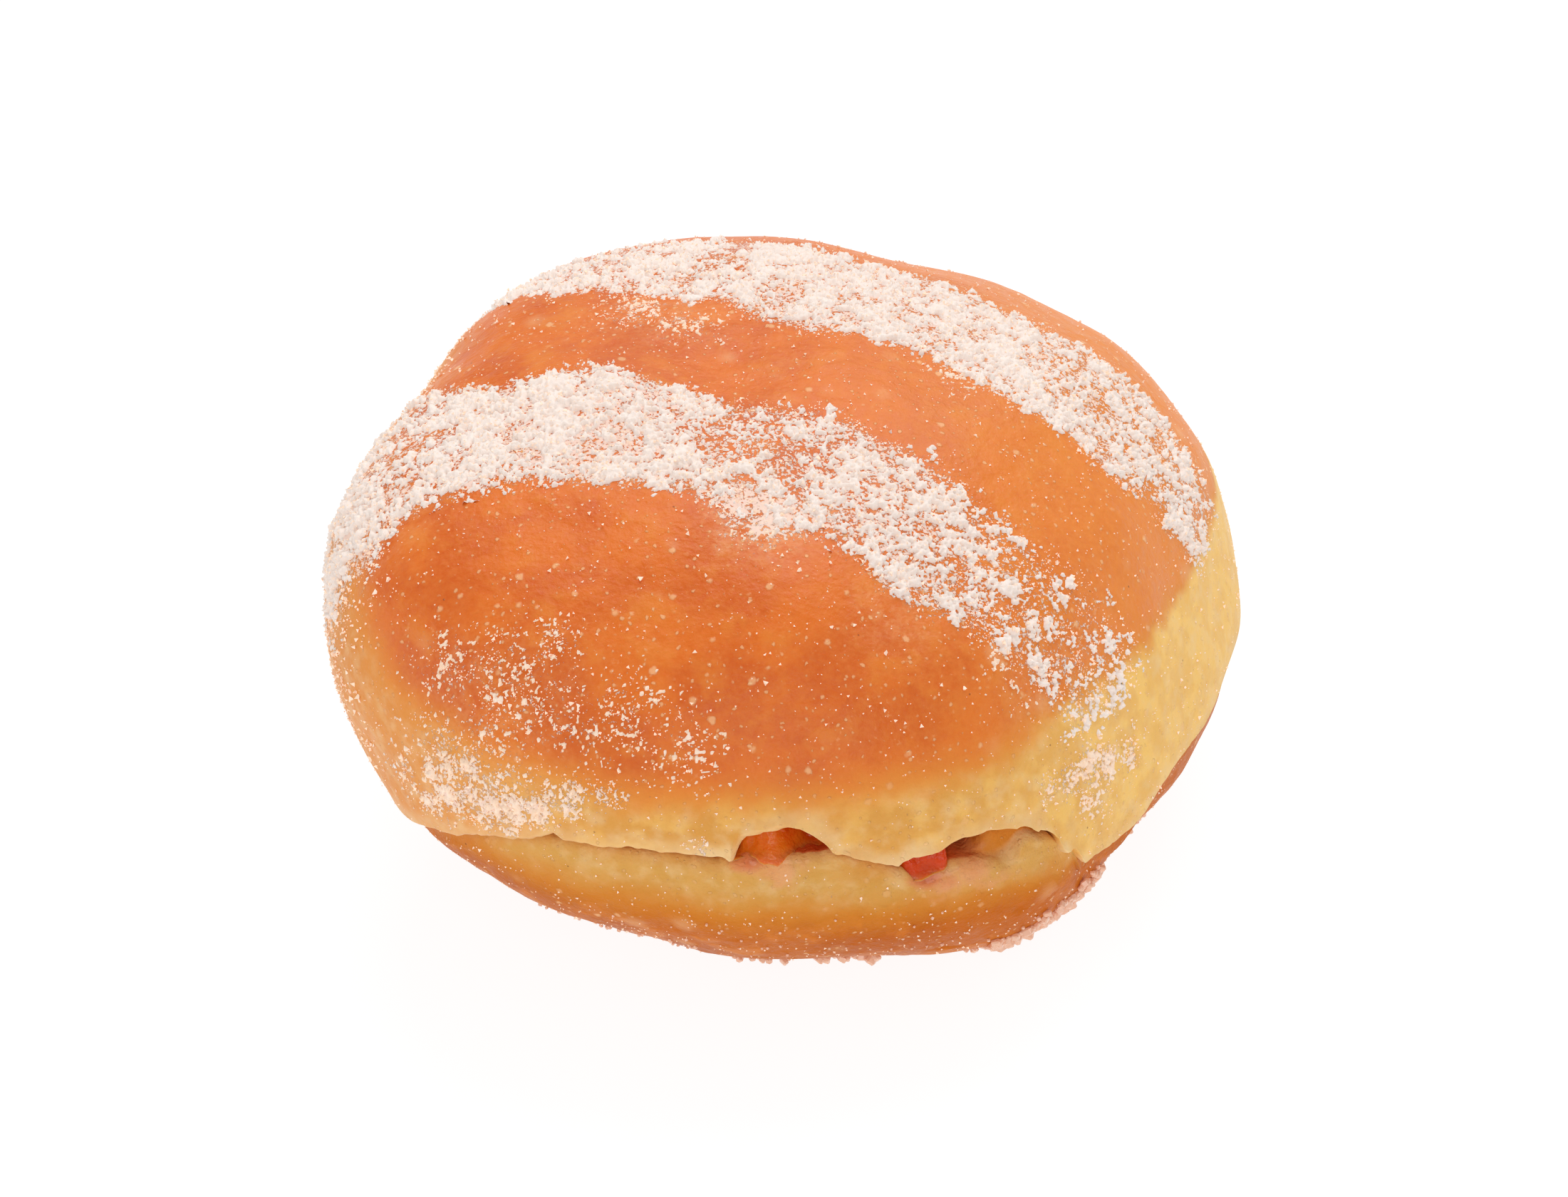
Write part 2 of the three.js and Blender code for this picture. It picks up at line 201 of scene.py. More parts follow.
def cutHeight(turn):
    fall = sum(share * ease(start, end, turn) for share, start, end in cut["falls"])
    arch = ease(*cut["arch"], turn) * (1 - fall)
    tear = ease(cut["falls"][-1][1], cut["falls"][-1][2], turn)
    flap = cut["flapDrop"] * hump(turn, cut["flapTurn"], cut["flapHalfWidth"]) * tear
    behind = ease(cut["backFrom"], cut["backTo"], np.abs(turn))
    wave = cut["backDepth"] * np.sin(cut["backLobes"] * turn * degree) * behind
    return cut["sideHeight"] + (cut["frontHeight"] - cut["sideHeight"]) * arch - flap + wave


# turns as points on a straight line, for noise along the rim
def alongRim(turns):
    flat = np.zeros_like(turns)
    return np.stack([turns * bun["rimPerDegree"], flat, flat], axis=-1)


# small ups and downs of a torn edge
def ragged(turns, seed):
    more = 1 + 2 * sum(hump(turns, middle, halfWidth) for middle, halfWidth in cut["rougher"])
    line = alongRim(turns)
    rough = lumps(line, 2.4, seed) + 0.8 * lumps(line, 1.0, seed + 1) + 0.9 * lumps(line, 0.5, seed + 2)
    return cut["ragged"] * more * rough * between(cut["torn"], turns)


def upperEdge(turn):
    return cutHeight(turn) + fromTable(cut["upperLip"], turn)


# an upright gap is longer than the true one where an edge climbs along the rim
def steepness(heightAt, turn):
    run = 2 * degree * bun["radius"]
    return np.hypot(1, (heightAt(turn + 1) - heightAt(turn - 1)) / run)


def cutPoint(turn, share):
    rim = skin(turn, riseAtHeight(cutHeight(turn)))[0]
    level = cut["centreHeight"] + (cutHeight(turn) - cut["centreHeight"]) * share ** cut["bend"]
    return np.stack([rim[..., 0] * share, rim[..., 1] * share, level], axis=-1)


# how far a face lies from the middle of the cut: the pocket of the jelly inside, its lip at the rim
def opening(turn, share, lip):
    halfGap = cut["gap"] / 2 * steepness(cutHeight, turn)
    pocket = cut["pocket"] * (1 - ease(cut["pocketFull"], cut["pocketNone"], share))
    return halfGap + pocket + lip * ease(cut["mouthNone"], cut["mouthFull"], share)


def upperFace(turn, share, extra=0):
    point = cutPoint(turn, share)
    point[..., 2] += opening(turn, share, fromTable(cut["upperLip"], turn)) + extra
    return point


def lowerFace(turn, share, extra=0):
    point = cutPoint(turn, share)
    point[..., 2] -= opening(turn, share, -fromTable(cut["lowerLip"], turn)) + extra
    climbs = between(cut["slope"], turn) * ease(0.972, 0.94, share) * ease(0.5, 0.7, share)
    ceiling = upperFace(turn, share)[..., 2] - cut["slopeGap"]
    point[..., 2] += (ceiling - point[..., 2]) * climbs
    return point


# a new object, its points in millimetres about the bun's axis
def newThing(name, points, faces, smooth=True):
    mesh = bpy.data.meshes.new(name)
    mesh.from_pydata((points + bun["origin"]) * mm, [], faces)
    if smooth:
        mesh.polygons.foreach_set("use_smooth", np.ones(len(mesh.polygons), bool))
    thing = bpy.data.objects.new(name, mesh)
    bpy.context.scene.collection.objects.link(thing)
    return thing


# the points of a mesh, back in those millimetres
def pointsOf(mesh):
    points = np.empty(len(mesh.vertices) * 3)
    mesh.vertices.foreach_get("co", points)
    return points.reshape(-1, 3) / mm - bun["origin"]


# rings of points (ring, segment, xyz) as one list, between two poles
def withPoles(top, rings, bottom):
    return np.concatenate([top[None], rings.reshape(-1, 3), bottom[None]])


# the same for a field that has one value for each ring
def ringField(top, parts, bottom, segments):
    return np.concatenate([[top], np.repeat(np.concatenate(parts), segments), [bottom]])


# a closed mesh of such a list, with fields for the material
def bodyMesh(name, points, rings, fields):
    count, segments = rings.shape[:2]
    ring = np.arange(count - 1)[:, None] * segments + 1
    at, following = np.arange(segments)[None], np.roll(np.arange(segments), -1)[None]
    quads = np.stack([ring + at, ring + segments + at, ring + segments + following, ring + following], -1)
    quads = quads.reshape(-1, 4)
    last = len(points) - 1
    low = (count - 1) * segments + 1
    fans = [(0, 1 + i, 1 + (i + 1) % segments) for i in range(segments)]
    fans += [(low + i, last, low + (i + 1) % segments) for i in range(segments)]
    thing = newThing(name, points, quads.tolist() + fans)
    for field, values in fields.items():
        layer = thing.data.attributes.new(field, "FLOAT", "POINT")
        layer.data.foreach_set("value", values.astype(np.float32))
    thing.data.update()
    return thing


def pushedOut(point, distance):
    plan = np.hypot(point[..., 0], point[..., 1])[..., None]
    flat = point * np.array([1, 1, 0])
    return point + flat / plan * distance


# quarter round between a point of the skin and one of the cut's face
def lipRing(skinPoint, facePoint, angle):
    plan, climb = 1 - math.cos(angle), math.sin(angle)
    return skinPoint + (facePoint - skinPoint) * np.array([plan, plan, climb])


# turns round the rim, closer together at the front
def turnList(piece):
    even = 2 * np.arange(piece["segments"]) / piece["segments"] - 1
    return 180 * (piece["density"] * even + (1 - piece["density"]) * even ** 3)


def lipRadiusAt(piece, turns):
    *window, less = piece["thinLip"]
    return piece["lipRadius"] - less * between(window, turns)


crown = {
    # where crust turns to pale dough: level by turn
    "crustEdge": [(-180, 38), (-135, 40), (-89, 40), (-69, 39.4), (-53, 35.4), (-36, 32.4), (-20, 32),
                  (32, 32), (69, 30.7), (98, 29.2), (140, 31), (180, 38)],
    "segments": 560, "density": 0.5,
    "rings": 120, "lipSteps": 5, "faceRings": 22,
    "lipRadius": 0.55, "overhang": 0.45,
    "faceShares": (0.965, 0.06),   # first and last ring of the face, as shares of the radius
    "thinLip": (-14, -9, 41, 46, 0.22),   # turns between which the lip is thinner, and by how much
    "grainDepth": 0.05,
    "faceGrain": 0.18,
    "tornMore": [(-9.5, 4), (14, 3), (38, 5)],   # turn, half width
    "jellySpots": [(-0.9, -39.1, 34.8, 0.45), (0.4, -39.2, 34.6, 0.3)],   # x, y, z, reach
    "wrinkles": [(-9, 8, 7, 7), (4, -2, 7, 4), (-24, -20, 8, 2.5), (20, 0, 8, 2.5)],   # x, y, reach, depth
    # the finest powder, melting in: x, y, z, reach, amount
    "veils": [(-1.7, -20.6, 47.2, 3.4, 1.1), (-4.5, -20, 47.4, 3, 0.9), (9, -27, 42, 4, 0.4),
              (-36, -12, 40, 6, 0.7), (-24, -33, 37, 7, 0.25), (-12, 11, 47, 6, 0.5),
              (24, -27, 33, 6, 0.35), (-29, -33, 27, 7, 0.3)],
}


def turnsOf(points):
    return (np.degrees(np.arctan2(points[:, 1], points[:, 0])) + 90 + 180) % 360 - 180


def shareOf(points):
    return np.hypot(points[:, 0], points[:, 1]) / bun["radius"]


def buildCrown():
    turns = turnList(crown)
    tear = ragged(turns, 3)
    edge = upperEdge(turns) + cut["gap"] / 2 * steepness(cutHeight, turns) + tear
    lipRadius = lipRadiusAt(crown, turns)
    lipSkin = pushedOut(skin(turns, riseAtHeight(edge + lipRadius))[0], crown["overhang"])
    lipFace = upperFace(turns, 1 - lipRadius / bun["radius"], tear)
    lipRise = riseAtHeight(lipSkin[:, 2])
    part = np.arange(1, crown["rings"] + 1)[:, None] / (crown["rings"] + 1)
    rise = math.pi / 2 + (lipRise[None] - math.pi / 2) * part
    dome, outward = skin(turns, rise)
    nearLip = ease(0.86, 1, part)
    dome = pushedOut(dome, crown["overhang"] * nearLip[..., None] * 0.8)
    flatDome = dome.reshape(-1, 3)
    grain = lumps(flatDome, 3.1, 5) + 0.6 * lumps(flatDome, 1.3, 6)
    for x, y, reach, depth in crown["wrinkles"]:
        near = spot(flatDome[:, :2], (x, y), reach) * (flatDome[:, 2] > 30)
        grain += depth * near * (0.5 - np.abs(lumps(flatDome * (0.6, 1, 1), 2.3, 7)))
    dome = dome + outward * (crown["grainDepth"] * grain.reshape(rise.shape))[..., None]
    lip = [lipSkin] + [lipRing(lipSkin, lipFace, math.pi / 2 * step / crown["lipSteps"])
                       for step in range(1, crown["lipSteps"])] + [lipFace]
    shares = np.linspace(*crown["faceShares"], crown["faceRings"])
    fadeTear = ease(0.6, 0.97, shares)
    face = np.array([upperFace(turns, share, tear * fade) for share, fade in zip(shares, fadeTear)])
    faceGrain = lumps(face.reshape(-1, 3), 2.2, 8).reshape(face.shape[:2])
    face[..., 2] += crown["faceGrain"] * faceGrain * ease(0.97, 0.9, shares)[:, None]
    rings = np.concatenate([dome, np.array(lip), face])
    points = withPoles(skin(0, math.pi / 2)[0], rings, upperFace(np.array(0.0), 0.0))

    turn = turnsOf(points)
    lipFades = np.linspace(0, 0.3, len(lip))
    inner = ringField(0, [np.zeros(len(dome)), lipFades, np.ones(len(face))], 1, len(turns))
    share = shareOf(points)
    stain = np.maximum(hump(turn, 2, 9) * ease(0.7, 0.95, share), 0.85 * hump(turn, 21.5, 4)) * inner
    for x, y, z, reach in crown["jellySpots"]:
        stain = np.maximum(stain, 0.9 * spot(points, (x, y, z), reach))
    # pale and torn just above the edge, more so beside the mouths and at the flap
    beside = np.max([hump(turn, middle, halfWidth) for middle, halfWidth in crown["tornMore"]], axis=0)
    above = points[:, 2] - np.interp(turn, turns, edge) + 0.5 * lumps(points, 1.3, 45)
    return bodyMesh("dough_crown", points, rings, {
        "inner": inner,
        "stain": stain,
        "golden": inner * 0.8,
        "browning": points[:, 2] - fromTable(crown["crustEdge"], turn),
        "torn": (1 - ease(0.3, 2.2, above)) * (0.45 + 0.55 * beside),
        "veil": sum(amount * spot(points, (x, y, z), reach) for x, y, z, reach, amount in crown["veils"]),
        "rosy": ease(-14, -36, points[:, 0]),
        # 0 at the left, 1 at the right: the material paints the dough lighter along it, painted light from
        #                                the right
        "towardsLitRight": ease(-10, 42, points[:, 0] + 0.25 * points[:, 1]),
        "dust": powderShare(powderAmount(points)[0]) * (inner < 0.3),
    })


base = {
    # where pale dough turns to crust: level by turn
    "crustEdge": [(-180, 17), (-43, 19.2), (-27, 18.8), (0, 18.6), (12, 18.2), (25, 18.4), (47, 17),
                  (90, 16), (180, 17)],
    "segments": 560, "density": 0.5,
    "rings": 74, "lipSteps": 8, "faceRings": 22,
    "lipRadius": 1.7, "recess": 0.35,
    "lipShare": 0.965, "innerShare": 0.06,   # last and first ring of the face
    "thinLip": (27, 29.5, 36, 38, 1.1),
    "trim": (50, 15, 10, 9, 0.8),   # turn, half width, level, half height, millimetres taken off there
    "grainDepth": 0.09,
    "faceGrain": 0.25,
    # small cracks of the skin: turn, level, half width in degrees, half height, depth
    "cracks": [(-4.2, 10.4, 1.6, 0.3, 0.45), (0.6, 9.9, 1.2, 0.2, 0.3), (-6.5, 15.2, 1.5, 0.2, 0.2),
               (22, 10.4, 2, 0.25, 0.35), (30.5, 15, 1, 0.5, 0.25)],
    # the jelly's thin wet film: turn, level, half width in degrees, half height, amount, redness
    "films": [(-5.0, 24.9, 3.0, 1.1, 0.9, 0.8), (-3.4, 23.9, 2.0, 0.8, 0.6, 0.5),
              (-1, 24.1, 2.2, 1.9, 0.9, 0.1), (1.4, 24.6, 2.6, 1.0, 0.5, 0.2),
              (17.4, 21.5, 2.6, 1.0, 0.95, 0.95), (19.8, 20.9, 3.0, 1.4, 0.75, 0.55),
              (23.4, 21.6, 2.8, 1.6, 0.9, 0.4), (26, 19.8, 3.5, 1.0, 0.5, 0.3),
              (19, 19.2, 3, 1.2, 0.4, 0.3)],
    "goldenTurns": [(26.5, 3), (10.5, 3.5)],   # browner below the cut: turn, half width
}


def baseTrim(turn, level):
    middle, halfTurn, height, halfHeight, most = base["trim"]
    return most * hump(turn, middle, halfTurn) * hump(level, height, halfHeight)


# how much of the wet film lies at each point, and how much of its red
def filmOn(points):
    turn, level = turnsOf(points), points[:, 2]
    film, filmRed = np.zeros(len(points)), np.zeros(len(points))
    for middle, height, halfTurn, halfHeight, amount, redness in base["films"]:
        cover = amount * hump(turn, middle, halfTurn) * hump(level, height, halfHeight)
        film = np.maximum(film, cover)
        filmRed = np.maximum(filmRed, cover * redness)
    return film, filmRed


def buildBase():
    turns = turnList(base)
    tear = 0.5 * ragged(turns, 13)
    inward = np.linspace(1, 0, base["faceRings"]) ** 1.7
    shares = base["lipShare"] - (base["lipShare"] - base["innerShare"]) * inward
    lipRadius = lipRadiusAt(base, turns)
    fadeTear = ease(0.6, 0.96, shares)
    face = np.array([lowerFace(turns, share, tear * fade) for share, fade in zip(shares, fadeTear)])
    faceGrain = lumps(face.reshape(-1, 3), 1.9, 18).reshape(face.shape[:2])
    face[..., 2] += base["faceGrain"] * faceGrain * ease(0.96, 0.88, shares)[:, None]
    lipFace = face[-1]
    rim = lowerFace(turns, 1.0, tear)[:, 2]
    lipSkin = pushedOut(skin(turns, riseAtHeight(rim - lipRadius))[0], -base["recess"])
    lip = [lipRing(lipSkin, lipFace, math.pi / 2 * (1 - step / base["lipSteps"]))
           for step in range(1, base["lipSteps"] + 1)]
    footRise = riseAtHeight(bun["foot"])
    lipRise = riseAtHeight(lipSkin[:, 2])
    part = np.arange(1, base["rings"] + 1)[:, None] / base["rings"]
    rise = lipRise[None] + (footRise - lipRise[None]) * part
    wall, outward = skin(turns, rise)
    nearLip = 1 - ease(0, 0.2, part)
    trim = baseTrim(turns[None], wall[..., 2])
    wall = pushedOut(wall, -(base["recess"] * nearLip + trim)[..., None])
    flatWall = wall.reshape(-1, 3)
    grain = lumps(flatWall, 3.4, 25) + 0.6 * lumps(flatWall, 1.2, 26)
    lift = base["grainDepth"] * grain.reshape(rise.shape) * ease(bun["foot"], bun["foot"] + 3, wall[..., 2])
    wet = 0.04 + 0.07 * lumps(flatWall, 1.2, 27) + 0.12 * np.abs(lumps(flatWall, 0.75, 28))
    relief = filmOn(flatWall)[0] * wet
    wallTurn, wavyLevel = turnsOf(flatWall), flatWall[:, 2] - 0.3 * lumps(flatWall, 1.5, 29)
    relief -= sum(depth * hump(wallTurn, middle, halfTurn) * hump(wavyLevel, level, halfHeight)
                  for middle, level, halfTurn, halfHeight, depth in base["cracks"])
    lift = lift + relief.reshape(rise.shape)
    wall = wall + outward * lift[..., None]
    rings = np.concatenate([face, np.array(lip), wall])
    foot = np.array([bun["baseLean"][0], bun["baseLean"][1], bun["foot"]])
    points = withPoles(lowerFace(np.array(0.0), 0.0), rings, foot)

    turn, level = turnsOf(points), points[:, 2]
    lipFades = np.linspace(1, 0, len(lip))
    inner = ringField(1, [np.ones(len(face)), 0.2 * lipFades, np.zeros(len(wall))], 0, len(turns))
    rim = ringField(0, [np.zeros(len(face) - 1), [1], lipFades, np.zeros(len(wall))], 0, len(turns))
    pale = np.maximum(0.35 * (np.abs(turn) < 60), hump(turn, 31.5, 4))
    mouths = np.maximum(hump(turn, 2, 9), 0.85 * hump(turn, 20, 4.5)) * inner
    film, filmRed = filmOn(points)
    golden = np.max([hump(turn, middle, halfWidth) for middle, halfWidth in base["goldenTurns"]], axis=0)
    return bodyMesh("dough_base", points, rings, {
        "inner": inner,
        "film": film,
        "stain": np.maximum(filmRed, mouths * ease(0.7, 0.9, shareOf(points))),
        "golden": np.maximum(0.45 * golden * hump(level, 23.4, 1.6), inner),
        "browning": fromTable(base["crustEdge"], turn) - level,
        "torn": rim * pale * (0.8 + 0.4 * lumps(points, 1.1, 46)),
        # 0 at the left, 1 at the right: the material paints the dough lighter along it, painted light from
        #                                the right
        "towardsLitRight": ease(0, 45, points[:, 0]),
    })


jelly = {
    "segments": 360, "density": 0.55,
    "reach": 0.82,
    # where it comes forward into the mouths: start, full, fall, end, more
    "tongues": [(-9.2, -7.2, 6, 8.5, 0.068), (-9.2, -7.2, -2, 2.5, 0.05), (12.2, 14.8, 19.6, 21.4, 0.142)],
    "rimSteps": 13, "rimBulge": 0.012,
    "spill": 0.066,         # how much further it reaches at the bottom of its rim
    "clearance": 0.12,      # below the upper half
    "sunk": 0.07,           # into the lower half, so that its thin edge doesn't show a step
    "rings": 20,
    "swell": [(0.16, 1.7, 31), (0.12, 0.8, 32)],   # lumps of the edge: height, length, seed
}


def jellyRoof(turns, share):
    return upperFace(turns, share, -jelly["clearance"] * steepness(upperEdge, turns))


# this follows the lower half, over its rounded lip too
def jellyFloor(turns, share):
    radius = base["lipRadius"]
    over = np.clip((share - base["lipShare"]) * bun["radius"], 0, 0.97 * radius)
    return lowerFace(turns, share, radius - np.sqrt(radius ** 2 - over ** 2) + jelly["sunk"])


def buildJelly():
    turns = turnList(jelly)
    reach = jelly["reach"] + sum(more * between(window, turns) for *window, more in jelly["tongues"])
    parts = np.linspace(0.05, 1, jelly["rings"])
    roof = np.array([jellyRoof(turns, reach * part) for part in parts])
    uneven = 1 + 0.3 * lumps(alongRim(turns), 1.9, 38)
    spill = jelly["spill"] * ease(0.84, 0.9, reach) * (1 - 0.6 * ease(0.93, 0.96, reach)) * uneven
    floor = np.array([jellyFloor(turns, (reach + spill) * part) for part in parts[::-1]])
    rim, rimThin = [], []
    for step in range(1, jelly["rimSteps"]):
        angle = math.pi * step / jelly["rimSteps"]
        mix = (1 - math.cos(angle)) / 2
        share = reach + jelly["rimBulge"] * math.sin(angle) * (1 - mix) + spill * mix ** 1.2
        fall = 1 - (1 - mix) ** 2.2
        rim.append(jellyRoof(turns, share) * (1 - fall) + jellyFloor(turns, share) * fall)
        rimThin.append(mix ** 2)
    rings = np.concatenate([roof, np.array(rim), floor])
    flat = rings.reshape(-1, 3)
    swell = sum(height * lumps(flat, length, seed) for height, length, seed in jelly["swell"])
    nearRim = ease(0.7, 0.8, shareOf(flat))
    rings = pushedOut(rings, (swell * 2 * nearRim).reshape(rings.shape[:2])[..., None])
    top = upperFace(np.array(0.0), 0.0, -jelly["clearance"])
    low = lowerFace(np.array(0.0), 0.0, -jelly["clearance"])
    points = withPoles(top, rings, low)

    turn = turnsOf(points)
    # painted shade: the jelly is darker high in the first mouth, more towards its right, where the upper lip
    # overhangs it
    high = ease(26.3, 28.6, points[:, 2] + 0.6 * lumps(points, 1.6, 34)) * (turn < 9)
    red = 0.2 + 0.3 * ease(-4, 4, turn) + 0.5 * ease(9, 13, turn) + 0.3 * lumps(points, 2.0, 33)
    return bodyMesh("jelly_layer", points, rings, {
        "red": np.clip(red, 0, 1),
        "deep": high * (0.3 + 0.55 * ease(-3, 3, turn)),
        "thin": ringField(0, [np.zeros(len(roof)), rimThin, np.ones(len(floor))], 1, len(turns)),
    })


# shader maths: a wrapped socket that adds Math or Vector Math nodes as an expression uses it
class Wire:
    def __init__(self, paint, socket):
        self.paint, self.socket = paint, socket

    def math(self, operation, first, second):
        vector = any(isinstance(w, Wire) and w.socket.type in ("VECTOR", "RGBA") for w in (first, second))
        kind = "ShaderNodeVectorMath" if vector else "ShaderNodeMath"
        return self.paint.node(kind, {"operation": operation}, {0: first, 1: second})

    def __add__(self, other): return self.math("ADD", self, other)
    def __radd__(self, other): return self.math("ADD", other, self)
    def __sub__(self, other): return self.math("SUBTRACT", self, other)
    def __rsub__(self, other): return self.math("SUBTRACT", other, self)
    def __mul__(self, other): return self.math("MULTIPLY", self, other)
    def __rmul__(self, other): return self.math("MULTIPLY", other, self)


class Paint:
    def __init__(self, name):
        self.material = bpy.data.materials.new(name)
        self.material.use_nodes = True
        self.tree = self.material.node_tree
        self.tree.nodes.clear()

    # any node: its settings first, then the values or links of its sockets
    def node(self, kind, settings=None, sockets=None, out=0):
        made = self.tree.nodes.new(kind)
        for key, value in (settings or {}).items():
            setattr(made, key, value)
        for key, value in (sockets or {}).items():
            if isinstance(value, Wire):
                self.tree.links.new(value.socket, made.inputs[key])
            else:
                made.inputs[key].default_value = value
        return Wire(self, made.outputs[out]) if made.outputs else made

    def field(self, name):
        return self.node("ShaderNodeAttribute", {"attribute_name": name}, out="Fac")

    def place(self):
        return self.node("ShaderNodeTexCoord", out="Object")

    def noise(self, size, detail=2.0, where=None, rough=0.5):
        return self.node("ShaderNodeTexNoise", {}, {
            "Vector": where or self.place(), "Scale": 1 / (size * mm), "Detail": detail, "Roughness": rough})

    def step(self, start, end, value):
        return self.node("ShaderNodeMapRange", {"interpolation_type": "SMOOTHSTEP"}, {
            "Value": value, "From Min": start, "From Max": end})

    # noise that comes in between two of its levels
    def blotches(self, size, detail, start, end, rough=0.5):
        return self.step(start, end, self.noise(size, detail, rough=rough))

    def mix(self, factor, first, second):
        return self.node("ShaderNodeMix", {"data_type": "RGBA"}, {0: factor, 6: first, 7: second}, out=2)

    def cells(self, size, where, out):
        return self.node("ShaderNodeTexVoronoi", {}, {
            "Vector": where, "Scale": 1 / (size * mm), "Randomness": 1.0}, out=out)

    def bump(self, height, distance, under=None):
        sockets = {"Height": height, "Distance": distance * mm}
        if under:
            sockets["Normal"] = under
        return self.node("ShaderNodeBump", {}, sockets)

    def surface(self, sockets):
        shader = self.node("ShaderNodeBsdfPrincipled", {}, sockets)
        self.node("ShaderNodeOutputMaterial", {}, {"Surface": shader})
        return self.material


def srgb(red, green, blue):
    def linear(value):
        value /= 255
        return value / 12.92 if value <= 0.04045 else ((value + 0.055) / 1.055) ** 2.4
    return (linear(red), linear(green), linear(blue), 1)


crownDough = {
    "crust": srgb(228, 112, 26),
    "crustDeep": srgb(204, 80, 12),
    # lighter crust: painted light from the right, also used for fine random mottling
    "crustLitRightAndMottle": srgb(240, 146, 62),   # towards the right
    "amber": srgb(232, 144, 50),       # between crust and pale dough
    "pale": srgb(222, 156, 66),
    # lighter pale dough: painted light from the right, also used for random patches
    "paleLitRightAndPatches": srgb(252, 201, 108),
    "edge": 3.2,            # millimetres over which the crust fades
    "gloss": 0.32,
    "bump": 0.1,
}
baseDough = {
    "crust": srgb(198, 104, 20),
    "crustDeep": srgb(176, 82, 10),
    # the lighter crust and pale tones here are painted light from the right, also used for mottling and
    # patches
    "crustLitRightAndMottle": srgb(206, 106, 22),
    "amber": srgb(214, 132, 44),
    "pale": srgb(216, 160, 80),
    "paleLitRightAndPatches": srgb(226, 170, 94),
    "edge": 4.0,
    "gloss": 0.06,
    "bump": 0.16,
}
doughFinish = {
    "golden": srgb(210, 116, 8),
    "stain": srgb(206, 84, 40),
    "film": srgb(232, 156, 98),
    "torn": srgb(242, 208, 156),
    "rosy": srgb(228, 142, 58),
    "blister": srgb(250, 194, 140),
    "ember": srgb(236, 142, 52),     # lighter patches of the crust
    "speck": srgb(110, 48, 18),
    "powder": srgb(252, 226, 212),
    "roughness": 0.4,
    "subsurface": 0.1,
    # blotches: size in millimetres, detail, the levels between which they come in, and roughness
    "mottle": (7, 5, 0.38, 0.62),
    "embers": (4.4, 4, 0.5, 0.68, 0.6),
    "fine": (0.9, 4, 0.32, 0.68),
    "tiny": (0.4, 3, 0.35, 0.7),
    "fairPatches": (2.6, 4, 0.4, 0.66),
    "tornPatches": (1.7, 4, 0.42, 0.78),
    "scuffs": (0.8, 4, 0.6, 0.72, 0.7),
    "scuffed": (5, 2, 0.45, 0.62),
    "veiled": (1.3, 4, 0.3, 0.6),
    # distance between blisters, least size, size by chance, crispness, strength
    "blisters": [(0.7, -0.06, 0.42, 6, 0.85), (1.7, -0.2, 0.5, 7, 0.9), (3.2, -0.18, 0.32, 8, 0.9),
                 (4.6, -0.1, 0.5, 3, 0.5)],
}


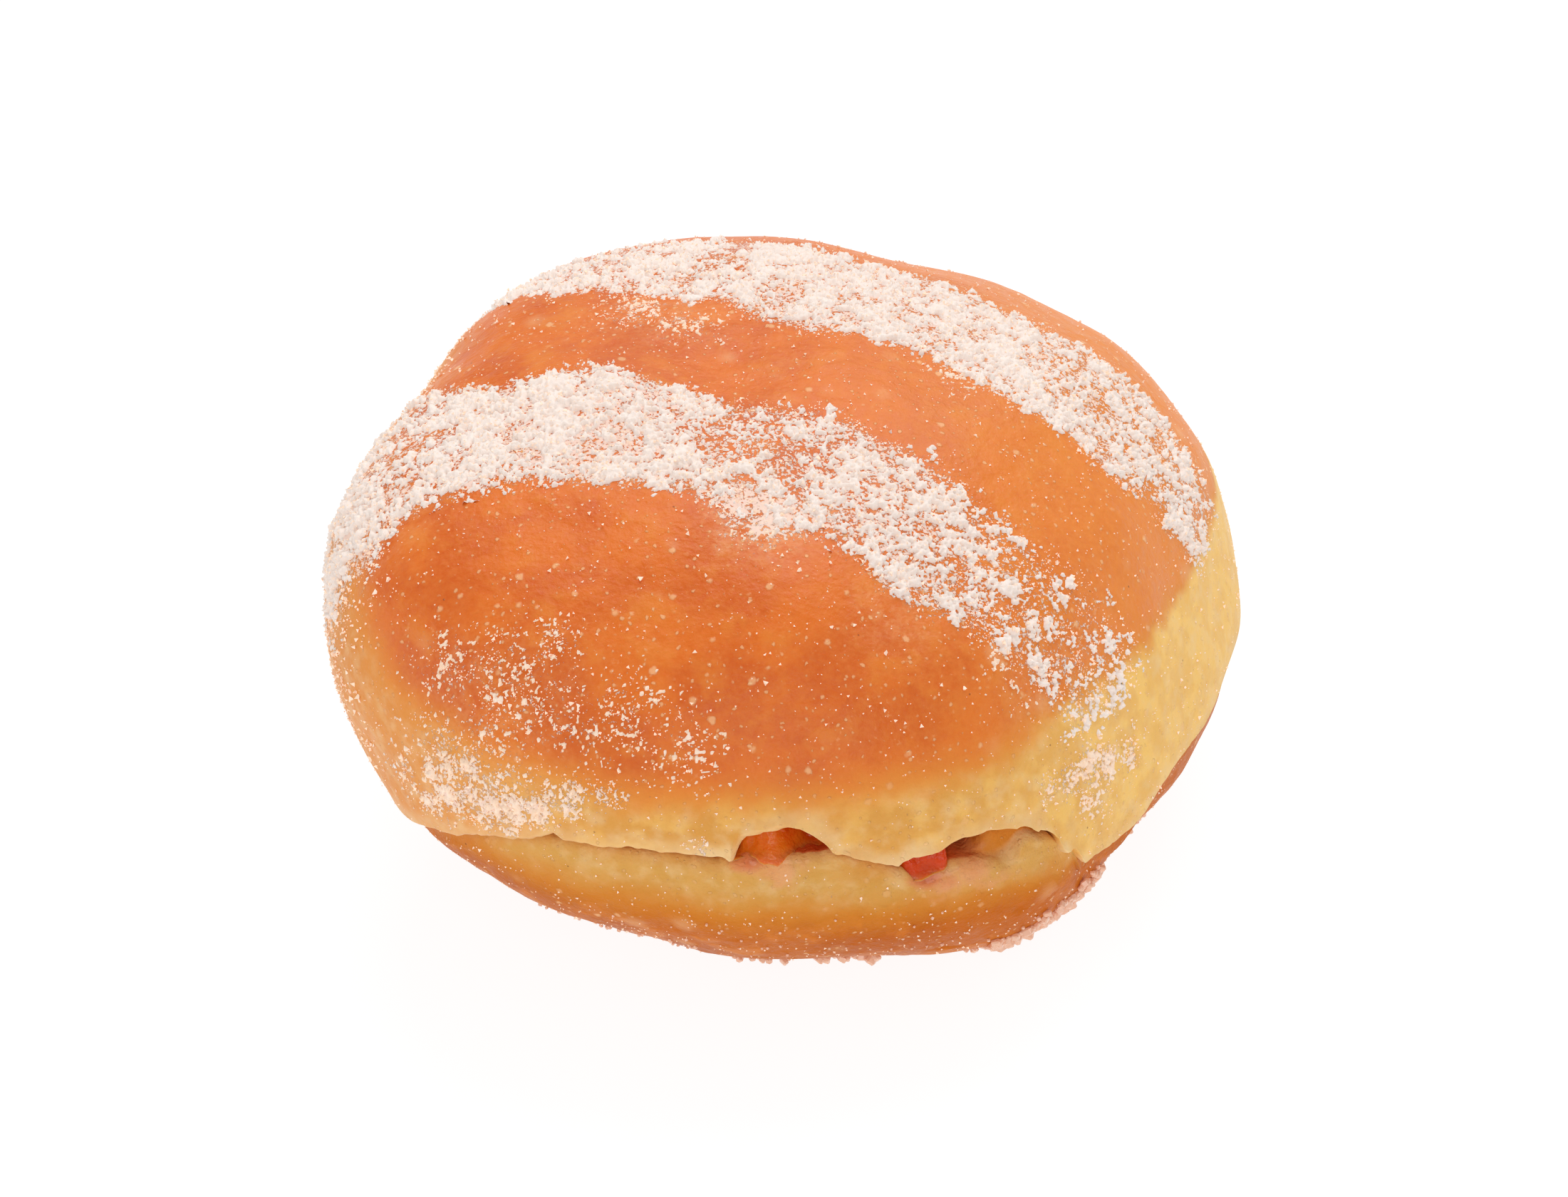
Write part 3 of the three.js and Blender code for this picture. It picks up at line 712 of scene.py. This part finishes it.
def doughMaterial(name, tones):
    paint = Paint(name)
    finish = doughFinish
    edge = tones["edge"]
    towardsLitRight, film = paint.field("towardsLitRight"), paint.field("film")
    browning = paint.field("browning") + (paint.noise(9, 3) - 0.5) * 3.5 + (paint.noise(2.2, 3) - 0.5) * 1.6
    browning = browning * (1 + towardsLitRight * 1.2)
    fromPale = paint.step(-edge, 0.6, browning)
    toCrust = paint.step(-1.2, edge, browning)
    # broad and small mottling, and streaks along the dough
    fine, tiny = paint.blotches(*finish["fine"]), paint.blotches(*finish["tiny"])
    streaks = paint.noise(1.5, 4, where=paint.place() * (0.5, 0.9, 1.0), rough=0.62)
    deep = paint.blotches(*finish["mottle"]) * 0.55 + paint.step(0.5, 0.7, streaks) * 0.16
    crust = paint.mix(deep, tones["crust"], tones["crustDeep"])
    # lighter crust towards the right is painted light from the right, with fine random mottling on top
    crust = paint.mix(towardsLitRight * 0.75 + fine * 0.14 + tiny * 0.1, crust, tones["crustLitRightAndMottle"])
    crust = paint.mix(paint.blotches(*finish["embers"]) * 0.4, crust, finish["ember"])
    # lighter pale dough towards the right is painted light from the right, with random patches on top
    fairer = towardsLitRight * 0.8 + paint.blotches(*finish["fairPatches"]) * 0.45
    pale = paint.mix(fairer, tones["pale"], tones["paleLitRightAndPatches"])
    pale = paint.mix(paint.field("rosy") * 0.85, pale, finish["rosy"])
    pale = paint.mix(paint.blotches(*finish["tornPatches"]) * 0.4, pale, finish["torn"])
    colour = paint.mix(fromPale, pale, tones["amber"])
    colour = paint.mix(toCrust, colour, crust)
    colour = paint.mix(paint.field("golden") * 0.75, colour, finish["golden"])
    colour = paint.mix(paint.field("torn") * 0.7, colour, finish["torn"])
    # pale blisters: many small dots, some larger ones, a few soft ones
    bends = {"Vector": paint.place(), "Scale": 1 / (0.7 * mm)}
    warp = paint.node("ShaderNodeTexNoise", {}, bends, out="Color")
    warped = paint.place() + (warp - (0.5, 0.5, 0.5)) * (0.5 * mm, 0.5 * mm, 0.5 * mm)
    blisters = 0
    for cell, least, grow, crisp, strength in finish["blisters"]:
        where = warped + (cell * mm, 0, 0)
        chance = paint.node("ShaderNodeSeparateColor", {}, {0: paint.cells(cell, where, "Color")})
        size = chance * grow + least
        blister = paint.step(0, 1, (size - paint.cells(cell, where, "Distance")) * crisp)
        blisters = blister * strength + blisters
    colour = paint.mix(blisters * (0.3 + toCrust * 0.4), colour, finish["blister"])
    scuffs = paint.blotches(*finish["scuffs"]) * paint.blotches(*finish["scuffed"])
    colour = paint.mix(scuffs * toCrust * 0.3, colour, finish["blister"])
    # a few dark specks
    speck = 1 - paint.step(0.02, 0.045, paint.cells(3.0, paint.place(), "Distance"))
    colour = paint.mix(speck * 0.6, colour, finish["speck"])
    # jelly: a pale film and a red stain
    film = paint.step(0.12, 0.75, film + (paint.noise(0.9, 4) - 0.5) * 0.7)
    colour = paint.mix(film * 0.7, colour, finish["film"])
    stain = paint.step(0.1, 0.9, paint.field("stain") + (paint.noise(1.6, 3) - 0.5) * 0.4)
    colour = paint.mix(stain * 0.75, colour, finish["stain"])
    # the finest powder, loose and melted in
    veil = paint.field("veil") * paint.blotches(*finish["veiled"]) * (0.5 + tiny)
    colour = paint.mix(veil * 0.42, colour, finish["blister"])
    dusty = paint.noise(0.34, 4, rough=0.62) - 0.74 + paint.field("dust") * 0.34 + veil * 0.2
    dusty = paint.step(0, 0.05, dusty + (paint.noise(2.5, 2) - 0.5) * 0.14)
    colour = paint.mix(dusty * 0.85, colour, finish["powder"])
    rough = finish["roughness"] + (fine - 0.5) * 0.12 + (1 - toCrust) * 0.1
    rough = rough - stain * 0.2 - film * 0.2 + dusty * 0.4
    normal = paint.bump(paint.noise(0.5, 4, rough=0.6), tones["bump"])
    normal = paint.bump(streaks * 0.1 + paint.noise(2.2, 3), tones["bump"] * 2.2, normal)
    normal = paint.bump(blisters + dusty * 0.8, 0.07, normal)
    normal = paint.bump(film * paint.noise(0.6, 3), 0.22, normal)
    return paint.surface({
        "Base Color": colour, "Roughness": rough, "Normal": normal,
        "Coat Weight": film * 0.6, "Coat Roughness": 0.14,
        "Subsurface Weight": finish["subsurface"],
        "Subsurface Radius": (1.0, 0.4, 0.18), "Subsurface Scale": 1.4 * mm,
        "Specular IOR Level": tones["gloss"],
    })


jellyFinish = {
    "amber": srgb(226, 112, 24),
    "red": srgb(206, 66, 6),
    # painted shade for the jelly under the upper lip's overhang
    "deep": srgb(166, 44, 4),
    "thin": srgb(222, 116, 58),       # over the lower lip
    "roughness": 0.13,
}


def jellyMaterial():
    paint = Paint("jelly_gloss")
    red = paint.field("red") + (paint.noise(1.6, 3) - 0.5) * 0.6
    colour = paint.mix(paint.step(0.2, 0.8, red), jellyFinish["amber"], jellyFinish["red"])
    # painted shade high in the first mouth, under the overhanging upper lip
    colour = paint.mix(paint.field("deep"), colour, jellyFinish["deep"])
    thin = paint.step(0.3, 1.0, paint.field("thin") + (paint.noise(0.7, 3) - 0.5) * 0.5)
    colour = paint.mix(thin * 0.9, colour, jellyFinish["thin"])
    normal = paint.bump(paint.noise(0.9, 3), 0.3)
    return paint.surface({
        "Base Color": colour, "Roughness": jellyFinish["roughness"], "Normal": normal,
        "Subsurface Weight": 0.5, "Subsurface Radius": (1.0, 0.3, 0.1), "Subsurface Scale": 1.6 * mm,
        "Specular IOR Level": 0.24,
    })


# The glow is painted light: a weak warm emission that lifts the sugar's shaded sides.
def sugarMaterial(name, colour, roughness, scatter, shadeLiftingGlow=0.0):
    paint = Paint(name)
    tone = paint.mix(paint.step(0.35, 0.75, paint.noise(1.4, 3)) * 0.4, colour, srgb(252, 242, 236))
    normal = paint.bump(paint.noise(0.22, 3), 0.08)
    return paint.surface({
        "Base Color": tone, "Roughness": roughness, "Normal": normal,
        "Emission Color": srgb(255, 218, 180), "Emission Strength": shadeLiftingGlow,
        "Subsurface Weight": scatter, "Subsurface Radius": (1.0, 0.88, 0.8), "Subsurface Scale": 0.4 * mm,
    })


def dress(thing, material, node=None):
    thing.data.materials.append(material)
    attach(thing, "root")
    if node:
        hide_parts(node)


# the powdered sugar: two drifts over the crown, between a rear and a front edge, by x
drifts = {
    "front": {
        "rear": [(-42, 9), (-33, 6.1), (-29, 2.2), (-25, 0.5), (-15, -0.1), (-7, -4), (3.4, -5.4),
                 (12.8, -10.9), (21, -16.4), (29, -17.4), (34, -17)],
        "front": [(-42, -11), (-35, -15), (-31, -14.2), (-21, -14), (-10.6, -17), (-3, -20.6), (2.6, -21),
                  (8.1, -25), (14.5, -27.4), (24, -27.6), (34, -25)],
        # how much thinner the sugar lies, by x
        "thin": [(-40, 0.5), (-34, 0.3), (-28, 0.1), (-14, 0.06), (-4, 0.34), (3, 0.26), (8, 0.2),
                 (16, 0.34), (24, 0.56), (31, 0.66)],
        "ends": (-41, 31),
        "seed": 41,
    },
    "back": {
        "rear": [(-33, 15), (-26, 22), (-20, 26), (-12, 28.5), (-4, 27.5), (4, 24.5), (12.7, 20.5),
                 (19.3, 16.8), (26, 14.6), (32, 12.6), (40, 6)],
        "front": [(-33, 20), (-26.8, 19.5), (-21.6, 17.2), (-15.7, 15.5), (-7, 13.2), (-3.1, 10), (2.8, 7.1),
                  (14.4, 4.1), (20.3, 1), (29.4, -2.6), (40, -3.6)],
        "thin": [(-30, 0.05), (-14, 0.2), (-7, 0.3), (0, 0.14), (20, 0.14), (30, 0.26), (38, 0.45)],
        "ends": (-30, 39),
        "seed": 51,
    },
}
# smaller patches of powder: x, y, z, reach in millimetres, how thickly it lies
patches = [
    (-38.5, -3, 38.5, 4.2, 0.95), (-38.6, -10.5, 40, 4.6, 1.15), (-40.5, -13.5, 36.8, 4.4, 1.05),
    (-41.5, -8, 35.5, 3.6, 0.8), (-41.8, -14, 32.5, 3.4, 0.55), (-37.4, -10.5, 41.8, 3, 0.95),
    (-37.2, -4.5, 41.6, 3, 0.85), (-38.1, -15.6, 40.4, 3, 0.85), (-40, -18, 36.5, 2.6, 0.5),
    # on the pale band at the left
    (-31.6, -32.2, 28.6, 1.8, 0.72), (-30, -33.4, 30.2, 1.7, 0.72), (-28, -34.5, 30.6, 1.7, 0.8),
    (-26.3, -35.5, 29.8, 1.5, 0.68), (-31.8, -31, 24.2, 1.9, 0.8), (-30.1, -33, 26.2, 1.9, 0.9),
    (-28.2, -34.4, 27.4, 1.8, 0.85), (-26.1, -35.5, 27.3, 2, 0.95), (-24.3, -36.5, 27.8, 2, 1.0),
    (-22.1, -37.3, 28.2, 2, 0.95), (-21, -37.7, 29.9, 1.4, 0.72), (-24.8, -35.9, 24.8, 1.2, 0.8),
    (-27, -35, 25.3, 2, 0.6), (-19.3, -38.2, 29.6, 1.6, 0.8), (-18.4, -38.3, 31.2, 1.5, 0.78),
    (-16.4, -38.8, 31.3, 1.4, 0.75), (-14.6, -39.2, 31.3, 1.3, 0.72), (-7.4, -40.6, 26.5, 1.2, 0.8),
    (-31, -32.2, 31.5, 4, 0.44), (-33.4, -29.6, 26, 3, 0.46), (-25, -36, 31, 5, 0.36),
    # on the crust above it
    (-25.5, -32.5, 38.5, 5, 0.37), (-30.4, -30, 38.2, 3.8, 0.4), (-21.6, -34.6, 37.6, 4.4, 0.37),
    (-24.1, -31.6, 40.4, 3.4, 0.39), (-20.3, -31, 41.9, 2.6, 0.46), (-26, -34.6, 34.8, 4, 0.36),
    (-17.9, -36.6, 36.2, 4, 0.39), (-14.1, -36.1, 38.4, 3.6, 0.4), (-9, -38, 36, 3.8, 0.36),
    # at the right
    (23.3, -31.8, 26.5, 1.6, 0.6), (24.9, -30.3, 26.2, 1.8, 0.75), (26.8, -27.9, 26, 2, 0.92),
    (28.6, -26.2, 24.6, 2, 0.9), (30.8, -23, 23.4, 1.8, 0.72), (27.5, -28.6, 23.2, 2.6, 0.55),
    (26, -25, 36, 4.5, 0.42), (21, -28, 38, 4, 0.4),
    # between the drifts, and under the front one
    (-14, 12, 47, 3.5, 0.52), (-9, 8, 48, 3, 0.44), (-2.5, -20.3, 47.4, 2.6, 0.5), (15, 2.5, 48, 3, 0.42),
]
sugar = {
    "cell": 0.115,          # millimetres between the points of the powder's surface
    "rays": 4,              # cells between two rays to the crown
    "rayStart": 90,         # millimetres out
    "centre": (-3.0, 0.0, 14.0),   # the rays end here
    "distance": 38.0,              # typical distance from there to the crown
    "reachAngle": 104,
    "lowest": 15,
    "bare": -0.62, "dense": 0.24,   # powder lies where this and its lumps are above zero
    "feather": 2.4,         # millimetres over which a drift's edge fades
    "edgeLumps": (3.4, 0.8),   # length and depth of its bays
    "levels": (26, 30),     # no drift lies below the first, and all of it above the second
    "sideEnd": -35,         # all powder left of this x belongs to the front drift
    "thickness": 0.5,
    "border": 0.05,
    "clip": (-0.08, 1.2),   # least and greatest height over the crown
    # loose lumps: length, height, more of it on patches, seed
    "lumps": [(2.4, 0.34, -0.2, 91), (0.9, 0.42, -0.22, 92), (0.4, 0.4, 0, 93), (0.23, 0.38, 0.12, 94)],
}


def driftCover(drift, points):
    x, y = points[:, 0], points[:, 1]
    edge = np.minimum(fromTable(drift["rear"], x) - y, y - fromTable(drift["front"], x))
    start, end = drift["ends"]
    edge = np.minimum(edge, np.minimum(x - start, end - x))
    length, depth = sugar["edgeLumps"]
    edge = edge + depth * lumps(points, length, drift["seed"])
    cover = ease(-sugar["feather"], sugar["feather"] * 0.55, edge) * (1 - fromTable(drift["thin"], x))
    return cover * ease(*sugar["levels"], points[:, 2])


def patchCover(points):
    cover = np.zeros(len(points))
    for x, y, z, reach, amount in patches:
        cover = np.maximum(cover, amount * spot(points, (x, y, z), reach))
    return cover


# how much powder lies at each point, from bare to dense, and the number of its drift, the patches last
def powderAmount(points):
    covers = [driftCover(drift, points) for drift in drifts.values()] + [patchCover(points)]
    most = np.max(covers, axis=0)
    owner = np.where(points[:, 0] < sugar["sideEnd"], 0, np.argmax(covers, axis=0))
    amount = sugar["bare"] + (sugar["dense"] - sugar["bare"]) * most
    return amount, owner


def powderShare(amount):
    return (amount - sugar["bare"]) / (sugar["dense"] - sugar["bare"])


def powderHeight(points, amount, owner):
    fine = owner == len(drifts)     # the patches are looser and thinner
    depth = amount + sum((height + more * fine) * lumps(points, length, seed)
                         for length, height, more, seed in sugar["lumps"])
    # billows: round tops with sharp creases between
    billow = 0.8 * np.abs(lumps(points, 1.0, 95)) + 0.7 * np.abs(lumps(points, 0.42, 96))
    tops = 0.36 * billow * ease(0, 0.35, depth)
    return sugar["thickness"] * (1 - 0.4 * fine) * (depth + tops) + sugar["border"] * np.sign(depth)


def crownTree(thing):
    faces = [tuple(p.vertices) for p in thing.data.polygons]
    return BVHTree.FromPolygons(pointsOf(thing.data).tolist(), faces)


# the crown as distances along a fan of rays from outside, refined to the powder's own cells
def crownGrid(tree):
    step = sugar["cell"] / sugar["distance"] / degree
    coarse = np.arange(-sugar["reachAngle"], sugar["reachAngle"], step * sugar["rays"])
    centre = Vector(sugar["centre"])

    def directions(side):
        across, along = np.meshgrid(side, side)
        tilt = np.hypot(across, along) * degree
        heading = np.arctan2(along, across)
        flat = np.sin(tilt)
        return np.stack([flat * np.cos(heading), flat * np.sin(heading), np.cos(tilt)], -1), tilt

    outward, tilt = directions(coarse)
    distance = np.full(tilt.shape, np.nan)
    for row, column in zip(*np.nonzero(tilt < sugar["reachAngle"] * degree)):
        ray = Vector(outward[row, column])
        hit = tree.ray_cast(centre + ray * sugar["rayStart"], -ray)
        place, length = hit[0], hit[3]
        if place is not None and place.z > sugar["lowest"]:
            distance[row, column] = sugar["rayStart"] - length
    fine = np.arange(coarse[0], coarse[-1], step)
    at = (fine - coarse[0]) / (step * sugar["rays"])
    low = np.minimum(at.astype(int), len(coarse) - 2)
    part = at - low
    rows = distance[low] * (1 - part[:, None]) + distance[low + 1] * part[:, None]
    full = rows[:, low] * (1 - part) + rows[:, low + 1] * part
    return np.array(sugar["centre"]) + directions(fine)[0] * full[..., None]


def buildDrifts(tree):
    grid = crownGrid(tree)
    shape = grid.shape[:2]
    along = np.gradient(grid, axis=0)
    across = np.gradient(grid, axis=1)
    normal = np.cross(across, along)
    normal /= np.linalg.norm(normal, axis=-1, keepdims=True)
    points, normal = grid.reshape(-1, 3), normal.reshape(-1, 3)
    known = np.isfinite(points).all(1) & np.isfinite(normal).all(1)
    amount, owner = np.full(len(points), -1.0), np.zeros(len(points), int)
    amount[known], owner[known] = powderAmount(points[known])
    near = amount > sugar["bare"] + 0.04
    height = np.full(len(points), -1.0)
    height[near] = powderHeight(points[near], amount[near], owner[near])
    number = np.arange(len(points)).reshape(shape)
    quads = np.stack([number[:-1, :-1], number[:-1, 1:], number[1:, 1:], number[1:, :-1]], -1).reshape(-1, 4)
    quads = quads[near[quads].all(1) & (height[quads].max(1) > 0.02)]
    lifted = points + normal * np.clip(height, *sugar["clip"])[:, None]
    pieces = []
    for index, name in enumerate(["sugar_drift_front", "sugar_drift_back", "sugar_patches"]):
        mine = quads[owner[quads[:, 0]] == index]
        used, renumbered = np.unique(mine, return_inverse=True)
        pieces.append(newThing(name, lifted[used], renumbered.reshape(-1, 4).tolist()))
    return pieces


# random points of a piece's outer skin, even by area: points and normals in millimetres
def skinSamples(thing, count, random):
    mesh = thing.data
    mesh.calc_loop_triangles()
    corners = np.empty(len(mesh.loop_triangles) * 3, int)
    mesh.loop_triangles.foreach_get("vertices", corners)
    points = pointsOf(mesh)
    inner = np.empty(len(mesh.vertices), np.float32)
    mesh.attributes["inner"].data.foreach_get("value", inner)
    corners = corners.reshape(-1, 3)
    corners = corners[inner[corners].max(1) < 0.05]
    first, second, third = points[corners[:, 0]], points[corners[:, 1]], points[corners[:, 2]]
    cross = np.cross(second - first, third - first)
    area = np.linalg.norm(cross, axis=1) / 2
    chosen = random.choice(len(area), count, p=area / area.sum())
    u, v = random.random(count)[:, None], random.random(count)[:, None]
    flip = (u + v > 1)
    u, v = np.where(flip, 1 - u, u), np.where(flip, 1 - v, v)
    place = first[chosen] + (second - first)[chosen] * u + (third - first)[chosen] * v
    normal = cross[chosen] / (2 * area[chosen])[:, None]
    middle = np.array([0, 0, bun["waist"]])
    normal *= np.sign(((place - middle) * normal).sum(1))[:, None]
    return place, normal, area.sum()


tetrahedron = (
    np.array([(1, 1, 1), (1, -1, -1), (-1, 1, -1), (-1, -1, 1)]) * 0.8,
    np.array([(0, 1, 2), (0, 2, 3), (0, 3, 1), (1, 3, 2)]),
)


# a cube with its corners cut off and its edges bevelled
def crystalShape():
    flatHalf, size = 0.62, 0.72
    spread = []
    for signs in np.ndindex(2, 2, 2):
        for axis in range(3):
            point = np.array(signs) * 2.0 - 1
            spread.append(np.where(np.arange(3) == axis, point, point * flatHalf))
    spread = np.array(spread)
    made = bmesh.new()
    for point in spread:
        made.verts.new(point)
    bmesh.ops.convex_hull(made, input=made.verts)
    bmesh.ops.triangulate(made, faces=made.faces)
    made.verts.index_update()
    faces = np.array([[v.index for v in f.verts] for f in made.faces])
    made.free()
    return spread * size, faces


# many turned, jittered copies of one small shape in one mesh; half widths in millimetres
def grainMesh(name, shape, points, halves, random, jitter):
    corners, faces = shape
    count = len(points)
    turn = random.normal(size=(count, 4))
    turn /= np.linalg.norm(turn, axis=1)[:, None]
    w, x, y, z = turn.T
    rotation = np.stack([
        1 - 2 * (y * y + z * z), 2 * (x * y - w * z), 2 * (x * z + w * y),
        2 * (x * y + w * z), 1 - 2 * (x * x + z * z), 2 * (y * z - w * x),
        2 * (x * z - w * y), 2 * (y * z + w * x), 1 - 2 * (x * x + y * y),
    ], -1).reshape(count, 3, 3)
    grown = corners[None] * (1 + jitter * random.uniform(-1, 1, (count, len(corners), 1)))
    grown = grown * random.uniform(0.75, 1.2, (count, 1, 3)) * halves[:, None, None]
    placed = np.einsum("nij,nkj->nki", rotation, grown) + points[:, None]
    numbered = faces[None] + (np.arange(count) * len(corners))[:, None, None]
    return newThing(name, placed.reshape(-1, 3), numbered.reshape(-1, 3).tolist(), smooth=False)


# loose grains of powder, as grains for each square millimetre
dust = {
    "everywhere": 0.55,
    "halo": 13.0,           # round the drifts and patches
    "onDrifts": 6.0,
    "samples": 400000,      # places tried on the upper half
    "half": 0.062,          # millimetres
    "spread": 0.42,
    "halfRange": (0.03, 0.2),
    "below": 0.3,           # on the lower half
    "belowArea": 9000,      # square millimetres of it
    "belowHalf": 0.07,
    "belowSpread": 0.35,
    "belowTurn": 75,        # none further round than this
    "belowLevel": 9,        # and none lower than this
    # coarser grains stuck to the left side: start and end turn, low and high level, count, half width
    "leftSide": (-128, -56, 19, 42, 1300, 0.13),
    "leftSpread": 0.3,
    "sunk": 0.3,            # how far a grain's middle stands off, in half widths
}


def buildDust(crownThing, baseThing):
    random = np.random.default_rng(61)
    points, normals, area = skinSamples(crownThing, dust["samples"], random)
    spacing = area / len(points)
    amount, owner = powderAmount(points)
    clump = ease(-0.2, 0.5, lumps(points, 1.1, 62) + 0.6 * lumps(points, 0.5, 63))
    height = powderHeight(points, amount, owner)
    share = powderShare(amount)
    halo = ease(0.02, 0.5, share) * (1 - 0.6 * ease(0.5, 0.8, share))
    density = dust["everywhere"] + dust["halo"] * halo * clump * (height <= 0)
    density += dust["onDrifts"] * (height > 0)
    kept = random.random(len(points)) < density * spacing
    points, normals, height = points[kept], normals[kept], height[kept]
    halves = random.lognormal(math.log(dust["half"]), dust["spread"], len(points)).clip(*dust["halfRange"])
    lowCount = int(dust["below"] * dust["belowArea"])
    lowPoints, lowNormals = skinSamples(baseThing, lowCount, random)[:2]
    shows = (lowPoints[:, 2] > dust["belowLevel"]) & (np.abs(turnsOf(lowPoints)) < dust["belowTurn"])
    lowHalves = random.lognormal(math.log(dust["belowHalf"]), dust["belowSpread"], lowCount)
    start, end, low, high, count, half = dust["leftSide"]
    sideTurn = random.uniform(start, end, count)
    sidePoints, sideNormals = skin(sideTurn, riseAtHeight(random.uniform(low, high, count)))
    sideHalves = random.lognormal(math.log(half), dust["leftSpread"], count)
    halves = np.concatenate([halves, lowHalves[shows], sideHalves])
    lifted = points + normals * np.maximum(height, 0)[:, None]
    points = np.concatenate([lifted, lowPoints[shows], sidePoints])
    normals = np.concatenate([normals, lowNormals[shows], sideNormals])
    return points + normals * halves[:, None] * dust["sunk"], halves


crownPiece = buildCrown()
print("crown", len(crownPiece.data.polygons))
basePiece = buildBase()
print("base", len(basePiece.data.polygons))
jellyPiece = buildJelly()
print("jelly", len(jellyPiece.data.polygons))
dress(crownPiece, doughMaterial("crown_crust", crownDough), "dough_top")
dress(basePiece, doughMaterial("base_crust", baseDough), "dough_bottom")
dress(jellyPiece, jellyMaterial(), "jelly")

powder = sugarMaterial("sugar_powder", srgb(249, 232, 222), 0.9, 0.25, 0.02)
thinPowder = sugarMaterial("sugar_powder_thin", srgb(250, 216, 188), 0.9, 0.2, 0.08)
for piece in buildDrifts(crownTree(crownPiece)):
    dress(piece, thinPowder if piece.name == "sugar_patches" else powder)
    print(piece.name, len(piece.data.polygons))

grainRandom = np.random.default_rng(71)
dustPoints, dustHalves = buildDust(crownPiece, basePiece)
dustPiece = grainMesh("sugar_dust", tetrahedron, dustPoints, dustHalves, grainRandom, 0.3)
dress(dustPiece, sugarMaterial("sugar_grain", srgb(254, 226, 200), 0.9, 0.0, 0.12))
print("dust", len(dustPiece.data.polygons))


# granulated sugar on the skin: start and end turn, low and high level, crystals, half width
granulated = [
    (23, 45, 5.6, 10.5, 430, 0.4),
    (30, 47, 8, 12.5, 90, 0.36),
    (19, 24, 6.5, 7.6, 5, 0.38),
    (-10, 6, 6.6, 8.2, 22, 0.42),
    (-18, -10, 7, 8.2, 9, 0.36),
    (-46, -18, 8, 12, 22, 0.2),
    (-30, 30, 11, 18, 60, 0.13),
    (45, 62, 4.4, 8.2, 110, 0.38),
    (60, 84, 4, 7.6, 40, 0.34),
]


def buildCrystals():
    random = np.random.default_rng(81)
    places, halves = [], []
    for start, end, low, high, count, half in granulated:
        turn = random.uniform(start, end, count)
        level = low + (high - low) * random.random(count) ** 1.4
        point, outward = skin(turn, riseAtHeight(level))
        point = pushedOut(point, -baseTrim(turn, level)[:, None])   # where the base was trimmed too
        size = random.lognormal(math.log(half), 0.22, count)
        places.append(point + outward * (size * 0.55)[:, None])
        halves.append(size)
    places, halves = np.concatenate(places), np.concatenate(halves)
    return grainMesh("sugar_crystals", crystalShape(), places, halves, random, 0.06)


def crystalMaterial():
    paint = Paint("sugar_crystal")
    return paint.surface({
        "Base Color": srgb(242, 196, 166), "Roughness": 0.08, "Transmission Weight": 0.2, "IOR": 1.6,
        # The emission is painted light: a weak warm glow that lifts the crystals' shaded sides.
        "Emission Color": srgb(224, 166, 134), "Emission Strength": 0.09,
    })


crystals = buildCrystals()
dress(crystals, crystalMaterial())
print("crystals", len(crystals.data.polygons))


studio = {
    "aim": (-0.59, -1.0, 23.07),   # millimetres
    "distance": 620.0,
    "down": 37.0,
    "lens": 153.76,
    "sensor": 36.0,
    "sky": 0.5,
    "lightAim": (0, 0, 0.02),
    # in metres: place, size and power
    "lights": {
        "overhead": ((0.12, 0.5, 0.85), 0.9, 5.9),
        "front": ((0.1, -0.8, 0.5), 0.6, 2.0),
        "side": ((-0.9, -0.15, 0.2), 0.5, 1.2),
    },
    "floorHalf": 3.0,
}


def buildCamera():
    camera = bpy.data.objects.new("camera", bpy.data.cameras.new("camera"))
    bpy.context.scene.collection.objects.link(camera)
    down = studio["down"] * degree
    back = Vector((0, -math.cos(down), math.sin(down)))
    camera.location = (Vector(studio["aim"]) + back * studio["distance"]) * mm
    camera.rotation_euler = (-back).to_track_quat("-Z", "Y").to_euler()
    camera.data.lens = studio["lens"]
    camera.data.sensor_width = studio["sensor"]
    camera.data.clip_start = 0.01
    bpy.context.scene.camera = camera


def areaLight(name, place, size, power):
    light = bpy.data.lights.new(name, "AREA")
    light.shape, light.size, light.energy = "DISK", size, power
    thing = bpy.data.objects.new(name, light)
    thing.location = place
    thing.rotation_euler = (Vector(studio["lightAim"]) - Vector(place)).to_track_quat("-Z", "Y").to_euler()
    bpy.context.scene.collection.objects.link(thing)


def buildStudio():
    world = bpy.data.worlds.new("studio")
    world.use_nodes = True
    world.node_tree.nodes["Background"].inputs[0].default_value = (1, 1, 1, 1)
    world.node_tree.nodes["Background"].inputs[1].default_value = studio["sky"]
    bpy.context.scene.world = world
    for name, (place, size, power) in studio["lights"].items():
        areaLight(name, place, size, power)
    material = Paint("floor_paper").surface({
        "Base Color": (0.16, 0.16, 0.16, 1), "Roughness": 0.95, "Specular IOR Level": 0.1,
        "Emission Color": (1, 1, 1, 1), "Emission Strength": 0.9,
    })
    mesh = bpy.data.meshes.new("floor")
    half = studio["floorHalf"]
    corners = [(-half, -half, 0), (half, -half, 0), (half, half, 0), (-half, half, 0)]
    mesh.from_pydata(corners, [], [(0, 1, 2, 3)])
    mesh.materials.append(material)
    floor = bpy.data.objects.new("floor", mesh)
    bpy.context.scene.collection.objects.link(floor)
    bpy.context.scene.view_settings.view_transform = "Standard"


buildCamera()
buildStudio()
print("studio")

bpy.context.view_layer.update()
